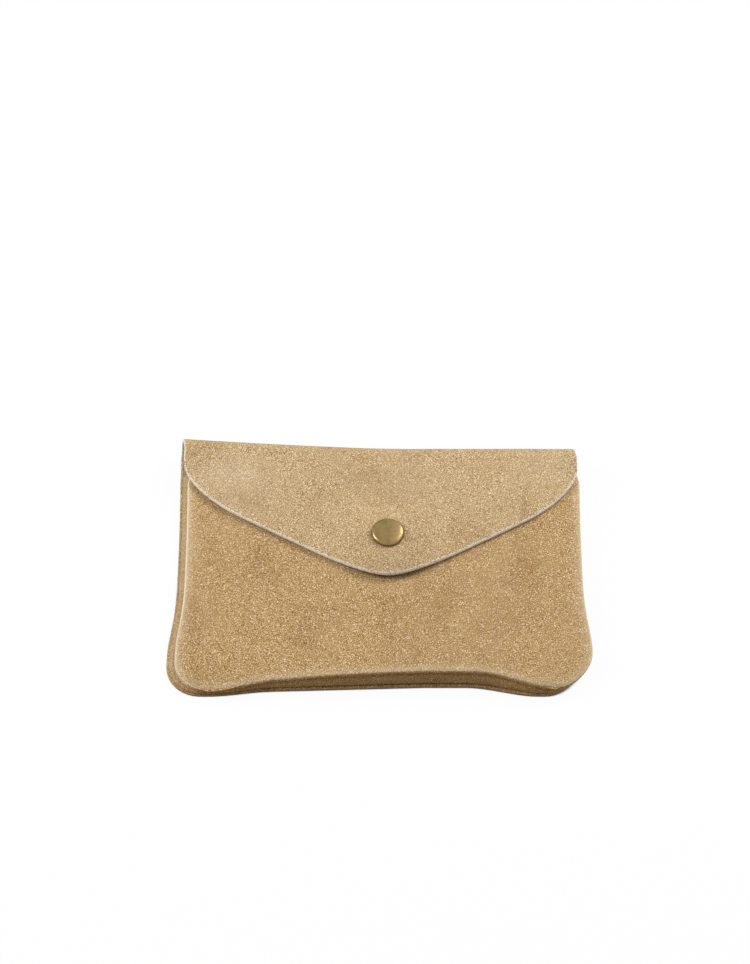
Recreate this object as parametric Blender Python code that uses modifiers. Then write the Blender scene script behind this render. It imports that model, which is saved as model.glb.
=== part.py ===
"""Suede envelope wallet, lying on its back panel with the flap snapped shut.

Lengths are in metres. X runs across the wallet, +Y from its bottom edge to the fold, and +Z up.
The back panel's underside is at Z = 0, and the origin is in the middle of the outline.
"""

import math

import bmesh
import bpy

MM = 0.001

# Sheet goods, and the gap left between pieces that touch
SUEDE = 1.3 * MM
GUSSET_SUEDE = 1.1 * MM
LINING = 0.4 * MM
TAPE = 0.4 * MM
THREAD_RADIUS = 0.35 * MM
FIT = 0.3 * MM

# Outline of the body
PANEL_WIDTH = 153 * MM
BOTTOM_FLARE = 1.6 * MM
DEPTH = 110 * MM
CORNER_RADIUS = 13 * MM
BOTTOM_ARCH = 4.2 * MM
ARCH_X = 10 * MM

# The fold along the top, and how far below it the front panel and the gusset stop
FOLD_RADIUS = 6 * MM
FOLD_LAP = 1.5 * MM
MOUTH_SETBACK = 4.5 * MM

# Heights of the front panel's outer face
BOTTOM_CORNER_HEIGHT = 5.2 * MM
BOTTOM_MIDDLE_HEIGHT = 9.4 * MM
MOUTH_CORNER_HEIGHT = 8.6 * MM
MOUTH_MIDDLE_HEIGHT = 10.4 * MM
BELLY = 1.5 * MM

# The flap: a V with a rounded tip, a little to the right of the middle
FLAP_INSET = 0.3 * MM
FLAP_LENGTH = 64 * MM
FLAP_SIDE = 1 * MM
TIP_X = 3.3 * MM
TIP_ROUNDING = 15 * MM
SHOULDER_WIDTH = 22 * MM
SHOULDER_RISE = 12 * MM
FLAP_GAP = 0.6 * MM
FLAP_SETTLE = 10.5 * MM

# The snap
SNAP_FROM_TIP = 15.5 * MM
CAP_RADIUS = 6.25 * MM
CAP_HEIGHT = 2 * MM
CAP_RIM_ROUNDING = 1.3 * MM
CAP_TUCK = 0.17 * MM
METAL = 0.5 * MM
POST_RADIUS = 1.5 * MM
STUD_FLANGE_RADIUS = 4.6 * MM
STUD_FLANGE = 0.4 * MM
STUD_NECK_RADIUS = 1.7 * MM
STUD_NECK = 1.45 * MM
STUD_HEAD_RADIUS = 2.4 * MM
STUD_HEAD = 0.95 * MM
STUD_TOP_RADIUS = 1.7 * MM
STUD_CROWN = 0.42 * MM
STUD_UNDERCUT = 0.24 * MM
EYELET_RADIUS = 1 * MM
SOCKET_RADIUS = 5.2 * MM
SOCKET_PLAY = 0.45 * MM
SPRING_WIRE_RADIUS = 0.32 * MM
SPRING_GRIP = 0.12 * MM
SPRING_LIP = 0.3 * MM
SPRING_PLAY = 0.1 * MM
SPRING_GAP_DEGREES = 40
SNAP_BUMP_SPREAD = 7 * MM
SLOPE_PLAY = 0.15 * MM

# The zipped pocket on the inside of the back panel
POCKET_INSET = 3 * MM
POCKET_RAMP = 8 * MM
ZIP_FROM_MOUTH = 5 * MM
ZIP_MARGIN = 17.5 * MM
TAPE_WIDTH = 5.5 * MM
TAPE_OVERLAP = 3 * MM
TOOTH_PITCH = 2.4 * MM
TOOTH_WIDTH = 0.8 * MM
TOOTH_LENGTH = 1.6 * MM
TOOTH_THICKNESS = 1.4 * MM
BEAD_WIDTH = 1 * MM
SLIDER_LENGTH = 9 * MM
SLIDER_WIDTH = 7.2 * MM
SLIDER_PLATE = 0.5 * MM
SLIDER_POST_RADIUS = 0.8 * MM
BAIL_LENGTH = 5.2 * MM
BAIL_WIDTH = 1.8 * MM
BAIL_BAR = 0.6 * MM
BAIL_LEG = 0.9 * MM
STOP_LENGTH = 2 * MM
CHAIN_LEAD = 1 * MM
PULL_LENGTH = 24 * MM
PULL_WIDTH = 5 * MM
PULL_SUEDE = 0.8 * MM
PULL_BAR = 1.2 * MM

# How finely each shape is divided, and how near points are joined
CORNER_ROWS = 5
PANEL_ROWS = 13
PANEL_COLUMNS = 18
FLAP_COLUMNS = 28
FLAP_ROWS = 9
FOLD_ROWS = 12
FOLD_COLUMNS = 6
SIDE_STEPS = 9
CORNER_STEPS = 6
BOTTOM_STEPS = 16
ROUND_STEPS = 28
RIM_STEPS = 4
JOIN_DISTANCE = 0.01 * MM

# Where things are, worked out from the sizes above
BOTTOM_Y = -DEPTH / 2
CORNER_Y = BOTTOM_Y + CORNER_RADIUS
FOLD_Y = DEPTH / 2 - FOLD_RADIUS
MOUTH_Y = FOLD_Y - MOUTH_SETBACK
WAIST_Y = (BOTTOM_Y + MOUTH_Y) / 2
BOTTOM_HALF = PANEL_WIDTH / 2 + BOTTOM_FLARE - CORNER_RADIUS
FLAP_HALF = PANEL_WIDTH / 2 - FLAP_INSET
FLAP_START = FOLD_Y - FOLD_LAP - FIT
TIP_Y = DEPTH / 2 - FLAP_LENGTH
SHOULDER_Y = FLAP_START - FLAP_SIDE - SHOULDER_RISE
FLAP_SLOPE = (SHOULDER_Y - TIP_Y) / (math.hypot(FLAP_HALF + TIP_X, TIP_ROUNDING) - TIP_ROUNDING)
SNAP_Y = TIP_Y + SNAP_FROM_TIP
STUD_HEIGHT = STUD_FLANGE + STUD_NECK + STUD_HEAD
SOCKET_HEIGHT = STUD_NECK + STUD_HEAD + METAL
SNAP_STACK = SLOPE_PLAY + FIT + STUD_FLANGE + FIT + SOCKET_HEIGHT + FIT + SLOPE_PLAY
SPRING_RADIUS = STUD_HEAD_RADIUS - SPRING_GRIP + SPRING_WIRE_RADIUS
SPRING_Z = SPRING_LIP + SPRING_PLAY + SPRING_WIRE_RADIUS
ZIP_Y = MOUTH_Y - ZIP_FROM_MOUTH
ZIP_LENGTH = PANEL_WIDTH - 2 * (POCKET_INSET + ZIP_MARGIN)
CHAIN_HALF = (TOOTH_LENGTH + FIT) / 2 + BEAD_WIDTH
POCKET_BACK_TOP = SUEDE + FIT + LINING
SLIDER_BOTTOM = POCKET_BACK_TOP + FIT
CHAIN_Z = SLIDER_BOTTOM + SLIDER_PLATE + FIT + TOOTH_THICKNESS / 2
SLIDER_TOP = 2 * CHAIN_Z - SLIDER_BOTTOM
SLIDER_X = STOP_LENGTH + FIT + SLIDER_LENGTH / 2 - ZIP_LENGTH / 2
BAIL_HOLE = PULL_SUEDE + 2 * FIT
CHAIN_START = SLIDER_X - CHAIN_LEAD
CHAIN_END = ZIP_LENGTH / 2 - STOP_LENGTH - FIT
TAPE_Z_LOW = CHAIN_Z - TAPE / 2
TAPE_Z_HIGH = CHAIN_Z + TAPE / 2
UPPER_TAPE_EDGE = ZIP_Y + CHAIN_HALF + FIT + TAPE_WIDTH
LOWER_TAPE_EDGE = ZIP_Y - CHAIN_HALF - FIT - TAPE_WIDTH


def material(name, colour, roughness, metallic=0.0):
    """A plain material for one kind of stuff."""
    made = bpy.data.materials.new(name)
    made.use_nodes = True
    shader = made.node_tree.nodes["Principled BSDF"]
    shader.inputs["Base Color"].default_value = (*colour, 1)
    shader.inputs["Roughness"].default_value = roughness
    shader.inputs["Metallic"].default_value = metallic
    return made


def add(name, data, stuff):
    """A named piece of the wallet."""
    piece = bpy.data.objects.new(name, data)
    data.materials.append(stuff)
    wallet.objects.link(piece)
    return piece


def sheet(name, columns, rows, place, thickness, stuff, side=-1):
    """A sheet of even thickness; place(u, v) puts each grid point, with u and v from 0 to 1."""
    mesh = bpy.data.meshes.new(name)
    grid = bmesh.new()
    bmesh.ops.create_grid(grid, x_segments=columns, y_segments=rows, size=0.5)
    for point in grid.verts:
        point.co = place(point.co.x + 0.5, point.co.y + 0.5)
    grid.to_mesh(mesh)
    grid.free()
    mesh.shade_smooth()
    piece = add(name, mesh, stuff)
    solid = piece.modifiers.new("Thickness", "SOLIDIFY")
    solid.thickness = thickness
    solid.offset = side
    return piece


def turned(name, profile, centre, stuff):
    """A turned piece: its profile, as (radius, height), ends on the axis or is a loop clear of it."""
    mesh = bpy.data.meshes.new(name)
    line = bmesh.new()
    points = [line.verts.new((radius, 0, height)) for radius, height in profile]
    if profile[0][0] > 0:
        points.append(points[0])
    for first, second in zip(points, points[1:]):
        line.edges.new((first, second))
    line.to_mesh(mesh)
    line.free()
    piece = add(name, mesh, stuff)
    piece.location = centre
    screw = piece.modifiers.new("Turn", "SCREW")
    screw.axis = "Z"
    screw.steps = ROUND_STEPS
    screw.render_steps = ROUND_STEPS
    screw.use_merge_vertices = True
    screw.merge_threshold = JOIN_DISTANCE
    return piece


def tube(name, points, radius, stuff):
    """A round strand along a line of points."""
    curve = bpy.data.curves.new(name, "CURVE")
    curve.dimensions = "3D"
    curve.bevel_depth = radius
    curve.bevel_resolution = 1
    curve.use_fill_caps = True
    strand = curve.splines.new("POLY")
    strand.points.add(len(points) - 1)
    for slot, (x, y, z) in zip(strand.points, points):
        slot.co = (x, y, z, 1)
    return add(name, curve, stuff)


def plate(name, outline, thickness, height, stuff):
    """A flat plate cut to an outline, with its middle at the given height."""
    curve = bpy.data.curves.new(name, "CURVE")
    curve.dimensions = "2D"
    curve.fill_mode = "BOTH"
    curve.extrude = thickness / 2
    for loop in outline:
        cut = curve.splines.new("POLY")
        cut.points.add(len(loop) - 1)
        cut.use_cyclic_u = True
        for slot, (x, y) in zip(cut.points, loop):
            slot.co = (x, y, 0, 1)
    piece = add(name, curve, stuff)
    piece.location.z = height
    return piece


def block(name, size, centre, stuff=None):
    """A box, as a piece when it has a material and as a cutter when it has none."""
    mesh = bpy.data.meshes.new(name)
    cube = bmesh.new()
    bmesh.ops.create_cube(cube, size=1)
    bmesh.ops.scale(cube, vec=size, verts=cube.verts)
    bmesh.ops.translate(cube, vec=centre, verts=cube.verts)
    cube.to_mesh(mesh)
    cube.free()
    if stuff:
        return add(name, mesh, stuff)
    return helper(name, mesh)


def rod(name, radius, bottom, top, centre):
    """An upright round cutter."""
    mesh = bpy.data.meshes.new(name)
    cylinder = bmesh.new()
    bmesh.ops.create_cone(
        cylinder, cap_ends=True, segments=ROUND_STEPS, radius1=radius, radius2=radius, depth=top - bottom
    )
    bmesh.ops.translate(cylinder, vec=(centre[0], centre[1], (top + bottom) / 2), verts=cylinder.verts)
    cylinder.to_mesh(mesh)
    cylinder.free()
    return helper(name, mesh)


def helper(name, mesh):
    """A shape that only cuts or joins, and isn't part of the wallet."""
    tool = bpy.data.objects.new(name, mesh)
    tool.hide_render = True
    tool.display_type = "WIRE"
    cutters.objects.link(tool)
    return tool


def combine(piece, tool, operation):
    """Cuts a tool out of a piece, or joins it on."""
    change = piece.modifiers.new(operation.title(), "BOOLEAN")
    change.operation = operation
    change.solver = "EXACT"
    change.object = tool


def pivot(name, place):
    """An empty on a joint's axis, for the pieces that move about it."""
    axis = bpy.data.objects.new(name, None)
    axis.location = place
    wallet.objects.link(axis)
    return axis


def hang(axis, pieces):
    """Parents pieces to their joint's empty, each staying where it is."""
    for piece in pieces:
        piece.parent = axis
        piece.location -= axis.location


def mix(low, high, share):
    return low + (high - low) * share


def ease(share):
    """A smooth step from 0 to 1."""
    share = min(max(share, 0), 1)
    return share * share * (3 - 2 * share)


def climb(y):
    """How far up the body y is, from 0 at the bottom edge to 1 at the mouth."""
    return (y - BOTTOM_Y) / (MOUTH_Y - BOTTOM_Y)


def half_width(y):
    """Half the width of a panel at y, with its bottom corner rounded."""
    fall = min(max((WAIST_Y - y) / (WAIST_Y - CORNER_Y), 0), 1)
    half = PANEL_WIDTH / 2 + BOTTOM_FLARE * fall * fall
    drop = max(CORNER_Y - y, 0)
    return half - CORNER_RADIUS + math.sqrt(max(CORNER_RADIUS**2 - drop**2, 0))


def arch(x):
    """How far the bottom edge is drawn in at x, most of all at ARCH_X."""
    reach = BOTTOM_HALF - math.copysign(ARCH_X, x - ARCH_X)
    return BOTTOM_ARCH * math.cos(math.pi / 2 * min(abs(x - ARCH_X) / reach, 1)) ** 2


def row_y(share, top):
    """The y of a panel row, with rows of their own for the bottom corner."""
    corner = CORNER_ROWS / PANEL_ROWS
    if share < corner:
        return CORNER_Y - CORNER_RADIUS * math.cos(math.pi / 2 * share / corner)
    return mix(CORNER_Y, top, (share - corner) / (1 - corner))


def front_height(u, v):
    """Height of the front panel's outer face, with u from -1 to 1 across it and v from 0 to 1 up it."""
    corner = mix(BOTTOM_CORNER_HEIGHT, MOUTH_CORNER_HEIGHT, v)
    middle = mix(BOTTOM_MIDDLE_HEIGHT, MOUTH_MIDDLE_HEIGHT, v)
    return corner + (1 - u * u) * (middle - corner + BELLY * math.sin(math.pi * v))


def front_height_at(x, y):
    return front_height(x / half_width(y), min(climb(y), 1))


def bent_up(x, y):
    """A point of the outline after its bottom edge is drawn in."""
    return y + arch(x) * max(1 - climb(y), 0) ** 2


def place_back(u, v):
    y = row_y(v, FLAP_START)
    x = (2 * u - 1) * half_width(y)
    return (x, bent_up(x, y), SUEDE)


def place_front(u, v):
    y = row_y(v, MOUTH_Y)
    x = (2 * u - 1) * half_width(y)
    return (x, bent_up(x, y), front_height(2 * u - 1, climb(y)))


def place_fold(u, v):
    """The fold is a half round, with a short straight lap at each end of it."""
    row = round(v * FOLD_ROWS)
    lap = FOLD_LAP if row in (0, FOLD_ROWS) else 0
    turn = math.pi * (min(max(row - 1, 0) / (FOLD_ROWS - 2), 1) - 0.5)
    y = FOLD_Y - lap + FOLD_RADIUS * math.cos(turn)
    return ((2 * u - 1) * FLAP_HALF, y, FOLD_RADIUS + FOLD_RADIUS * math.sin(turn))


def flap_edge(x):
    """The y of the flap's cut edge at x."""
    across = abs(x - TIP_X)
    shoulder = max(abs(x) - FLAP_HALF + SHOULDER_WIDTH, 0) / SHOULDER_WIDTH
    rise = SHOULDER_RISE * (1 - math.sqrt(max(1 - shoulder * shoulder, 0)))
    return TIP_Y + FLAP_SLOPE * (math.hypot(across, TIP_ROUNDING) - TIP_ROUNDING) + rise


def flap_height(x, y):
    """Height of the flap's outer face: from the fold it settles over the front panel and the snap."""
    from_snap = max(math.hypot(x - TIP_X, y - SNAP_Y) - CAP_RADIUS, 0)
    bump = math.exp(-((from_snap / SNAP_BUMP_SPREAD) ** 2) / 2)
    settled = front_height_at(x, y) + mix(FLAP_GAP, SNAP_STACK, bump) + SUEDE
    return mix(2 * FOLD_RADIUS, settled, ease((FOLD_Y - y) / FLAP_SETTLE))


def place_flap(u, v):
    turn = math.pi * (u - 0.5)
    x = FLAP_HALF * math.sin(turn) + TIP_X * math.cos(turn) ** 2
    y = mix(flap_edge(x), FLAP_START, v)
    return (x, y, flap_height(x, y))


def outline(inset):
    """The body's outline from the mouth at the left round to the mouth at the right, as (x, y, u, v)."""
    left = []
    for step in range(SIDE_STEPS):
        y = mix(MOUTH_Y, CORNER_Y, step / SIDE_STEPS)
        left.append((inset - half_width(y), y, -1, climb(y)))
    for step in range(CORNER_STEPS):
        turn = math.pi / 2 * step / CORNER_STEPS
        x = -BOTTOM_HALF - (CORNER_RADIUS - inset) * math.cos(turn)
        y = CORNER_Y - (CORNER_RADIUS - inset) * math.sin(turn)
        left.append((x, y, -1, climb(y)))
    bottom = []
    for step in range(BOTTOM_STEPS + 1):
        x = BOTTOM_HALF * (2 * step / BOTTOM_STEPS - 1)
        bottom.append((x, BOTTOM_Y + inset + arch(x), x / BOTTOM_HALF, 0))
    right = [(-x, y, -u, v) for x, y, u, v in reversed(left)]
    return left + bottom + right


def place_gusset(front):
    """Places one half of the gusset wall, on either side of its crease."""
    ring = outline(FIT)

    def place(u, v):
        x, y, across, up = ring[round(u * (len(ring) - 1))]
        bottom = SUEDE + FIT
        top = front_height(across, up) - SUEDE - FIT
        crease = (bottom + top) / 2
        if front:
            return (x, y, mix(crease + FIT / 2, top, v))
        return (x, y, mix(bottom, crease - FIT / 2, v))

    return place


def seam(front):
    """The line of a seam thread, in the corner between the gusset and a panel."""
    line = []
    for x, y, across, up in outline(FIT + GUSSET_SUEDE + FIT + THREAD_RADIUS):
        if front:
            line.append((x, y, front_height(across, up) - SUEDE - FIT - THREAD_RADIUS))
        else:
            line.append((x, y, SUEDE + FIT + THREAD_RADIUS))
    return line


def pocket_rows(flat, ramp_start, ramp_end, top, raised):
    """Rows of a pocket wall, as (y, height): flat from its bottom corners, then up a ramp to the zip tape."""
    rows = [(row_y(step / PANEL_ROWS, MOUTH_Y), flat) for step in range(CORNER_ROWS + 1)]
    rows.append(((CORNER_Y + ramp_start) / 2, flat))
    return rows + [(ramp_start, flat), (ramp_end, raised), (top, raised)]


def place_pocket(rows):
    """Places a wall of the pocket by its rows, set in from the outline of the body."""

    def place(u, v):
        y, height = rows[round(v * (len(rows) - 1))]
        x = (2 * u - 1) * (half_width(y) - POCKET_INSET)
        lift = POCKET_INSET * max(CORNER_Y - y, 0) / CORNER_RADIUS
        return (x, bent_up(x, y) + lift, height)

    return place


def comb(upper):
    """The outline of one row of zip teeth on its bead."""
    way = -1 if upper else 1
    outer = ZIP_Y - way * CHAIN_HALF
    inner = outer + way * BEAD_WIDTH
    tip = inner + way * TOOTH_LENGTH
    first = CHAIN_START + TOOTH_WIDTH + (TOOTH_PITCH / 2 if upper else 0)
    count = int((CHAIN_END - TOOTH_WIDTH - first) / TOOTH_PITCH)
    loop = [(CHAIN_END, inner), (CHAIN_END, outer), (CHAIN_START, outer), (CHAIN_START, inner)]
    for tooth in range(count + 1):
        middle = first + tooth * TOOTH_PITCH
        loop.append((middle - TOOTH_WIDTH / 2, inner))
        loop.append((middle - TOOTH_WIDTH / 2, tip))
        loop.append((middle + TOOTH_WIDTH / 2, tip))
        loop.append((middle + TOOTH_WIDTH / 2, inner))
    return loop


def cap_profile(shank):
    """The snap's cap: a flat-topped shell with a rounded rim, on a solid shank."""
    profile = [(0, CAP_HEIGHT)]
    for step in range(RIM_STEPS + 1):
        turn = math.pi / 2 * (1 - step / RIM_STEPS)
        radius = CAP_RADIUS - CAP_RIM_ROUNDING * (1 - math.cos(turn))
        profile.append((radius, CAP_HEIGHT - CAP_RIM_ROUNDING * (1 - math.sin(turn))))
    inside = CAP_RADIUS - METAL
    profile += [(CAP_RADIUS - CAP_TUCK, 0), (inside, 0), (inside, CAP_HEIGHT - CAP_RIM_ROUNDING)]
    profile += [(CAP_RADIUS - CAP_RIM_ROUNDING, CAP_HEIGHT - METAL), (POST_RADIUS, CAP_HEIGHT - METAL)]
    profile += [(POST_RADIUS, -shank), (0, -shank)]
    return profile


def socket_profile():
    """The snap's socket: a ring with a groove inside for the spring and a hole for the cap's shank."""
    opening = STUD_HEAD_RADIUS + SOCKET_PLAY
    groove = SPRING_RADIUS + SPRING_WIRE_RADIUS + FIT
    shelf = SPRING_Z + SPRING_WIRE_RADIUS + SPRING_PLAY
    under = SOCKET_HEIGHT - METAL
    hole = POST_RADIUS + FIT
    return [
        (opening, 0),
        (opening, SPRING_LIP),
        (groove, SPRING_LIP),
        (groove, shelf),
        (opening, shelf),
        (opening, under),
        (hole, under),
        (hole, SOCKET_HEIGHT),
        (SOCKET_RADIUS - METAL, SOCKET_HEIGHT),
        (SOCKET_RADIUS, SOCKET_HEIGHT - METAL),
        (SOCKET_RADIUS, METAL / 2),
        (SOCKET_RADIUS - METAL / 2, 0),
    ]


def stud_profile():
    """The snap's stud: a flange and a headed neck, hollow for the eyelet."""
    bore = EYELET_RADIUS + FIT
    roof = STUD_FLANGE + STUD_NECK
    return [
        (0, STUD_HEIGHT),
        (STUD_TOP_RADIUS, STUD_HEIGHT),
        (STUD_HEAD_RADIUS, STUD_HEIGHT - STUD_CROWN),
        (STUD_HEAD_RADIUS, roof + STUD_UNDERCUT),
        (STUD_NECK_RADIUS, roof),
        (STUD_NECK_RADIUS, STUD_FLANGE),
        (STUD_FLANGE_RADIUS, STUD_FLANGE),
        (STUD_FLANGE_RADIUS, 0),
        (bore, 0),
        (bore, roof),
        (0, roof),
    ]


def eyelet_profile(length):
    """The eyelet that holds the stud: a disc behind the front panel, with a shank up through it."""
    return [
        (0, STUD_FLANGE + length),
        (EYELET_RADIUS, STUD_FLANGE + length),
        (EYELET_RADIUS, STUD_FLANGE),
        (STUD_FLANGE_RADIUS, STUD_FLANGE),
        (STUD_FLANGE_RADIUS, 0),
        (0, 0),
    ]


for old in list(bpy.data.objects):
    bpy.data.objects.remove(old)
wallet = bpy.data.collections.new("wristlet_wallet")
cutters = bpy.data.collections.new("cutters")
bpy.context.scene.collection.children.link(wallet)
bpy.context.scene.collection.children.link(cutters)

suede = material("tan_suede", (0.50, 0.34, 0.18), 0.95)
flap_suede = material("flap_suede", (0.54, 0.38, 0.22), 0.95)
lining = material("lining_cloth", (0.40, 0.27, 0.15), 0.9)
thread = material("sewing_thread", (0.42, 0.30, 0.17), 0.8)
brass = material("aged_brass", (0.45, 0.32, 0.14), 0.35, 1.0)
steel = material("spring_steel", (0.55, 0.55, 0.53), 0.3, 1.0)
tape_cloth = material("zip_tape_cloth", (0.26, 0.17, 0.09), 0.9)

# Panels, fold and flap
sheet("back_panel", PANEL_COLUMNS, PANEL_ROWS, place_back, SUEDE, suede)
sheet("flap_fold", FOLD_COLUMNS, FOLD_ROWS, place_fold, SUEDE, flap_suede, side=1)
front_panel = sheet("front_panel", PANEL_COLUMNS, PANEL_ROWS, place_front, SUEDE, suede)
flap = sheet("flap", FLAP_COLUMNS, FLAP_ROWS, place_flap, SUEDE, flap_suede)

# Gusset and seams
ring_steps = len(outline(FIT)) - 1
sheet("gusset_back_half", ring_steps, 1, place_gusset(False), GUSSET_SUEDE, suede)
front_half = sheet("gusset_front_half", ring_steps, 1, place_gusset(True), GUSSET_SUEDE, suede)
tube("back_seam_thread", seam(False), THREAD_RADIUS, thread)
front_thread = tube("front_seam_thread", seam(True), THREAD_RADIUS, thread)

# Snap
stud_z = front_height_at(TIP_X, SNAP_Y) + SLOPE_PLAY + FIT
socket_z = stud_z + STUD_FLANGE + FIT
cap_z = flap_height(TIP_X, SNAP_Y) + SLOPE_PLAY + FIT
eyelet_z = stud_z - 2 * (SLOPE_PLAY + FIT) - SUEDE - STUD_FLANGE
shank = cap_z - (socket_z + SOCKET_HEIGHT - METAL)
eyelet_shank = stud_z + STUD_FLANGE + STUD_NECK - FIT - eyelet_z - STUD_FLANGE
cap = turned("snap_cap", cap_profile(shank), (TIP_X, SNAP_Y, cap_z), brass)
socket = turned("snap_socket", socket_profile(), (TIP_X, SNAP_Y, socket_z), brass)
stud = turned("snap_stud", stud_profile(), (TIP_X, SNAP_Y, stud_z), brass)
eyelet = turned("snap_eyelet", eyelet_profile(eyelet_shank), (TIP_X, SNAP_Y, eyelet_z), brass)
coil = []
for step in range(ROUND_STEPS + 1):
    turn = math.radians(mix(SPRING_GAP_DEGREES, 360 - SPRING_GAP_DEGREES, step / ROUND_STEPS))
    x = TIP_X + SPRING_RADIUS * math.cos(turn)
    y = SNAP_Y + SPRING_RADIUS * math.sin(turn)
    coil.append((x, y, socket_z + SPRING_Z))
spring = tube("snap_spring", coil, SPRING_WIRE_RADIUS, steel)
flap_hole = rod("flap_hole", POST_RADIUS + FIT, stud_z, cap_z + CAP_HEIGHT, (TIP_X, SNAP_Y))
combine(flap, flap_hole, "DIFFERENCE")
front_hole = rod("front_hole", EYELET_RADIUS + FIT, eyelet_z, socket_z, (TIP_X, SNAP_Y))
combine(front_panel, front_hole, "DIFFERENCE")

# Zipped pocket
ramp_start = ZIP_Y + SLIDER_WIDTH / 2 + FIT
ramp_end = (ramp_start + UPPER_TAPE_EDGE) / 2
back_rows = pocket_rows(POCKET_BACK_TOP, ramp_start, ramp_end, UPPER_TAPE_EDGE, TAPE_Z_LOW - FIT)
sheet("pocket_back_wall", PANEL_COLUMNS, len(back_rows) - 1, place_pocket(back_rows), LINING, lining)
ramp_start = LOWER_TAPE_EDGE - POCKET_RAMP
ramp_end = LOWER_TAPE_EDGE - FIT
front_top = LOWER_TAPE_EDGE + TAPE_OVERLAP
front_flat = POCKET_BACK_TOP + FIT + LINING
front_rows = pocket_rows(front_flat, ramp_start, ramp_end, front_top, TAPE_Z_HIGH + FIT + LINING)
sheet("pocket_front_wall", PANEL_COLUMNS, len(front_rows) - 1, place_pocket(front_rows), LINING, lining)
tape_size = (ZIP_LENGTH + 2 * STOP_LENGTH, TAPE_WIDTH, TAPE)
block("zip_tape_upper", tape_size, (0, UPPER_TAPE_EDGE - TAPE_WIDTH / 2, CHAIN_Z), tape_cloth)
block("zip_tape_lower", tape_size, (0, LOWER_TAPE_EDGE + TAPE_WIDTH / 2, CHAIN_Z), tape_cloth)
plate("zip_teeth_upper", [comb(True)], TOOTH_THICKNESS, CHAIN_Z, brass)
plate("zip_teeth_lower", [comb(False)], TOOTH_THICKNESS, CHAIN_Z, brass)
stop_width = CHAIN_HALF - FIT / 2
stop_x = (ZIP_LENGTH - STOP_LENGTH) / 2
bottom_stop_size = (STOP_LENGTH, 2 * stop_width, TOOTH_THICKNESS)
block("zip_bottom_stop", bottom_stop_size, (stop_x, ZIP_Y, CHAIN_Z), brass)
top_stop_size = (STOP_LENGTH, BEAD_WIDTH, TOOTH_THICKNESS)
stop_offset = CHAIN_HALF - BEAD_WIDTH / 2
block("zip_top_stop_upper", top_stop_size, (-stop_x, ZIP_Y + stop_offset, CHAIN_Z), brass)
block("zip_top_stop_lower", top_stop_size, (-stop_x, ZIP_Y - stop_offset, CHAIN_Z), brass)

# Zip slider, with a bail on top and a suede pull threaded through it
slider_middle = (SLIDER_X, ZIP_Y, CHAIN_Z)
slider_size = (SLIDER_LENGTH, SLIDER_WIDTH, SLIDER_TOP - SLIDER_BOTTOM)
slider = block("zip_slider", slider_size, slider_middle, brass)
rounding = slider.modifiers.new("Rounding", "BEVEL")
rounding.width = SLIDER_PLATE / 2
rounding.segments = 1
channel_size = (2 * SLIDER_LENGTH, 2 * (CHAIN_HALF + FIT), TOOTH_THICKNESS + 2 * FIT)
combine(slider, block("chain_channel", channel_size, slider_middle), "DIFFERENCE")
slot_size = (2 * SLIDER_LENGTH, 2 * SLIDER_WIDTH, TAPE + 2 * FIT)
combine(slider, block("tape_slot", slot_size, slider_middle), "DIFFERENCE")
post_x = SLIDER_X - SLIDER_LENGTH / 2 + SLIDER_POST_RADIUS + 2 * FIT
post_low = SLIDER_BOTTOM + SLIDER_PLATE / 2
post_high = SLIDER_TOP - SLIDER_PLATE / 2
combine(slider, rod("slider_post", SLIDER_POST_RADIUS, post_low, post_high, (post_x, ZIP_Y)), "UNION")
bail_bottom = SLIDER_TOP - SLIDER_PLATE / 2
bail_top = SLIDER_TOP + BAIL_HOLE + BAIL_BAR
bail_size = (BAIL_LENGTH, BAIL_WIDTH, bail_top - bail_bottom)
bail = block("slider_bail", bail_size, (SLIDER_X, ZIP_Y, (bail_top + bail_bottom) / 2))
combine(slider, bail, "UNION")
hole_length = BAIL_LENGTH - 2 * BAIL_LEG
hole_size = (hole_length, 2 * BAIL_WIDTH, BAIL_HOLE)
bail_hole = block("bail_hole", hole_size, (SLIDER_X, ZIP_Y, SLIDER_TOP + BAIL_HOLE / 2))
combine(slider, bail_hole, "DIFFERENCE")
pull_start = SLIDER_X - PULL_BAR / 2
pull_end = pull_start + PULL_LENGTH
slit_start = SLIDER_X + PULL_BAR / 2
slit_end = SLIDER_X + BAIL_LENGTH / 2 + 2 * FIT
pull_half = PULL_WIDTH / 2
slit_half = BAIL_WIDTH / 2 + FIT
pull_outline = [
    (pull_start, ZIP_Y - pull_half),
    (pull_end - pull_half, ZIP_Y - pull_half),
    (pull_end, ZIP_Y - pull_half / 2),
    (pull_end, ZIP_Y + pull_half / 2),
    (pull_end - pull_half, ZIP_Y + pull_half),
    (pull_start, ZIP_Y + pull_half),
]
slit = [
    (slit_start, ZIP_Y - slit_half),
    (slit_end, ZIP_Y - slit_half),
    (slit_end, ZIP_Y + slit_half),
    (slit_start, ZIP_Y + slit_half),
]
pull = plate("zip_pull", [pull_outline, slit], PULL_SUEDE, SLIDER_TOP + FIT + PULL_SUEDE / 2, suede)

# Pieces that move hang on an empty on their joint's axis
hang(pivot("flap_axis", (0, DEPTH / 2, FOLD_RADIUS)), [flap, cap, socket, spring])
mouth_axis = pivot("mouth_axis", (0, BOTTOM_Y, BOTTOM_CORNER_HEIGHT / 2))
hang(mouth_axis, [front_panel, front_half, front_thread, stud, eyelet])
hang(pivot("slider_guide", slider_middle), [slider, pull])
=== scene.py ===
"""Looks of the suede envelope wallet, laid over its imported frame.

Sizes are in millimetres until a mesh is made, in the part's own axes: X across, +Y to the fold, +Z up.
"""

import math

import bmesh
import bpy
import numpy as np
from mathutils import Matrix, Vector, noise


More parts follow.
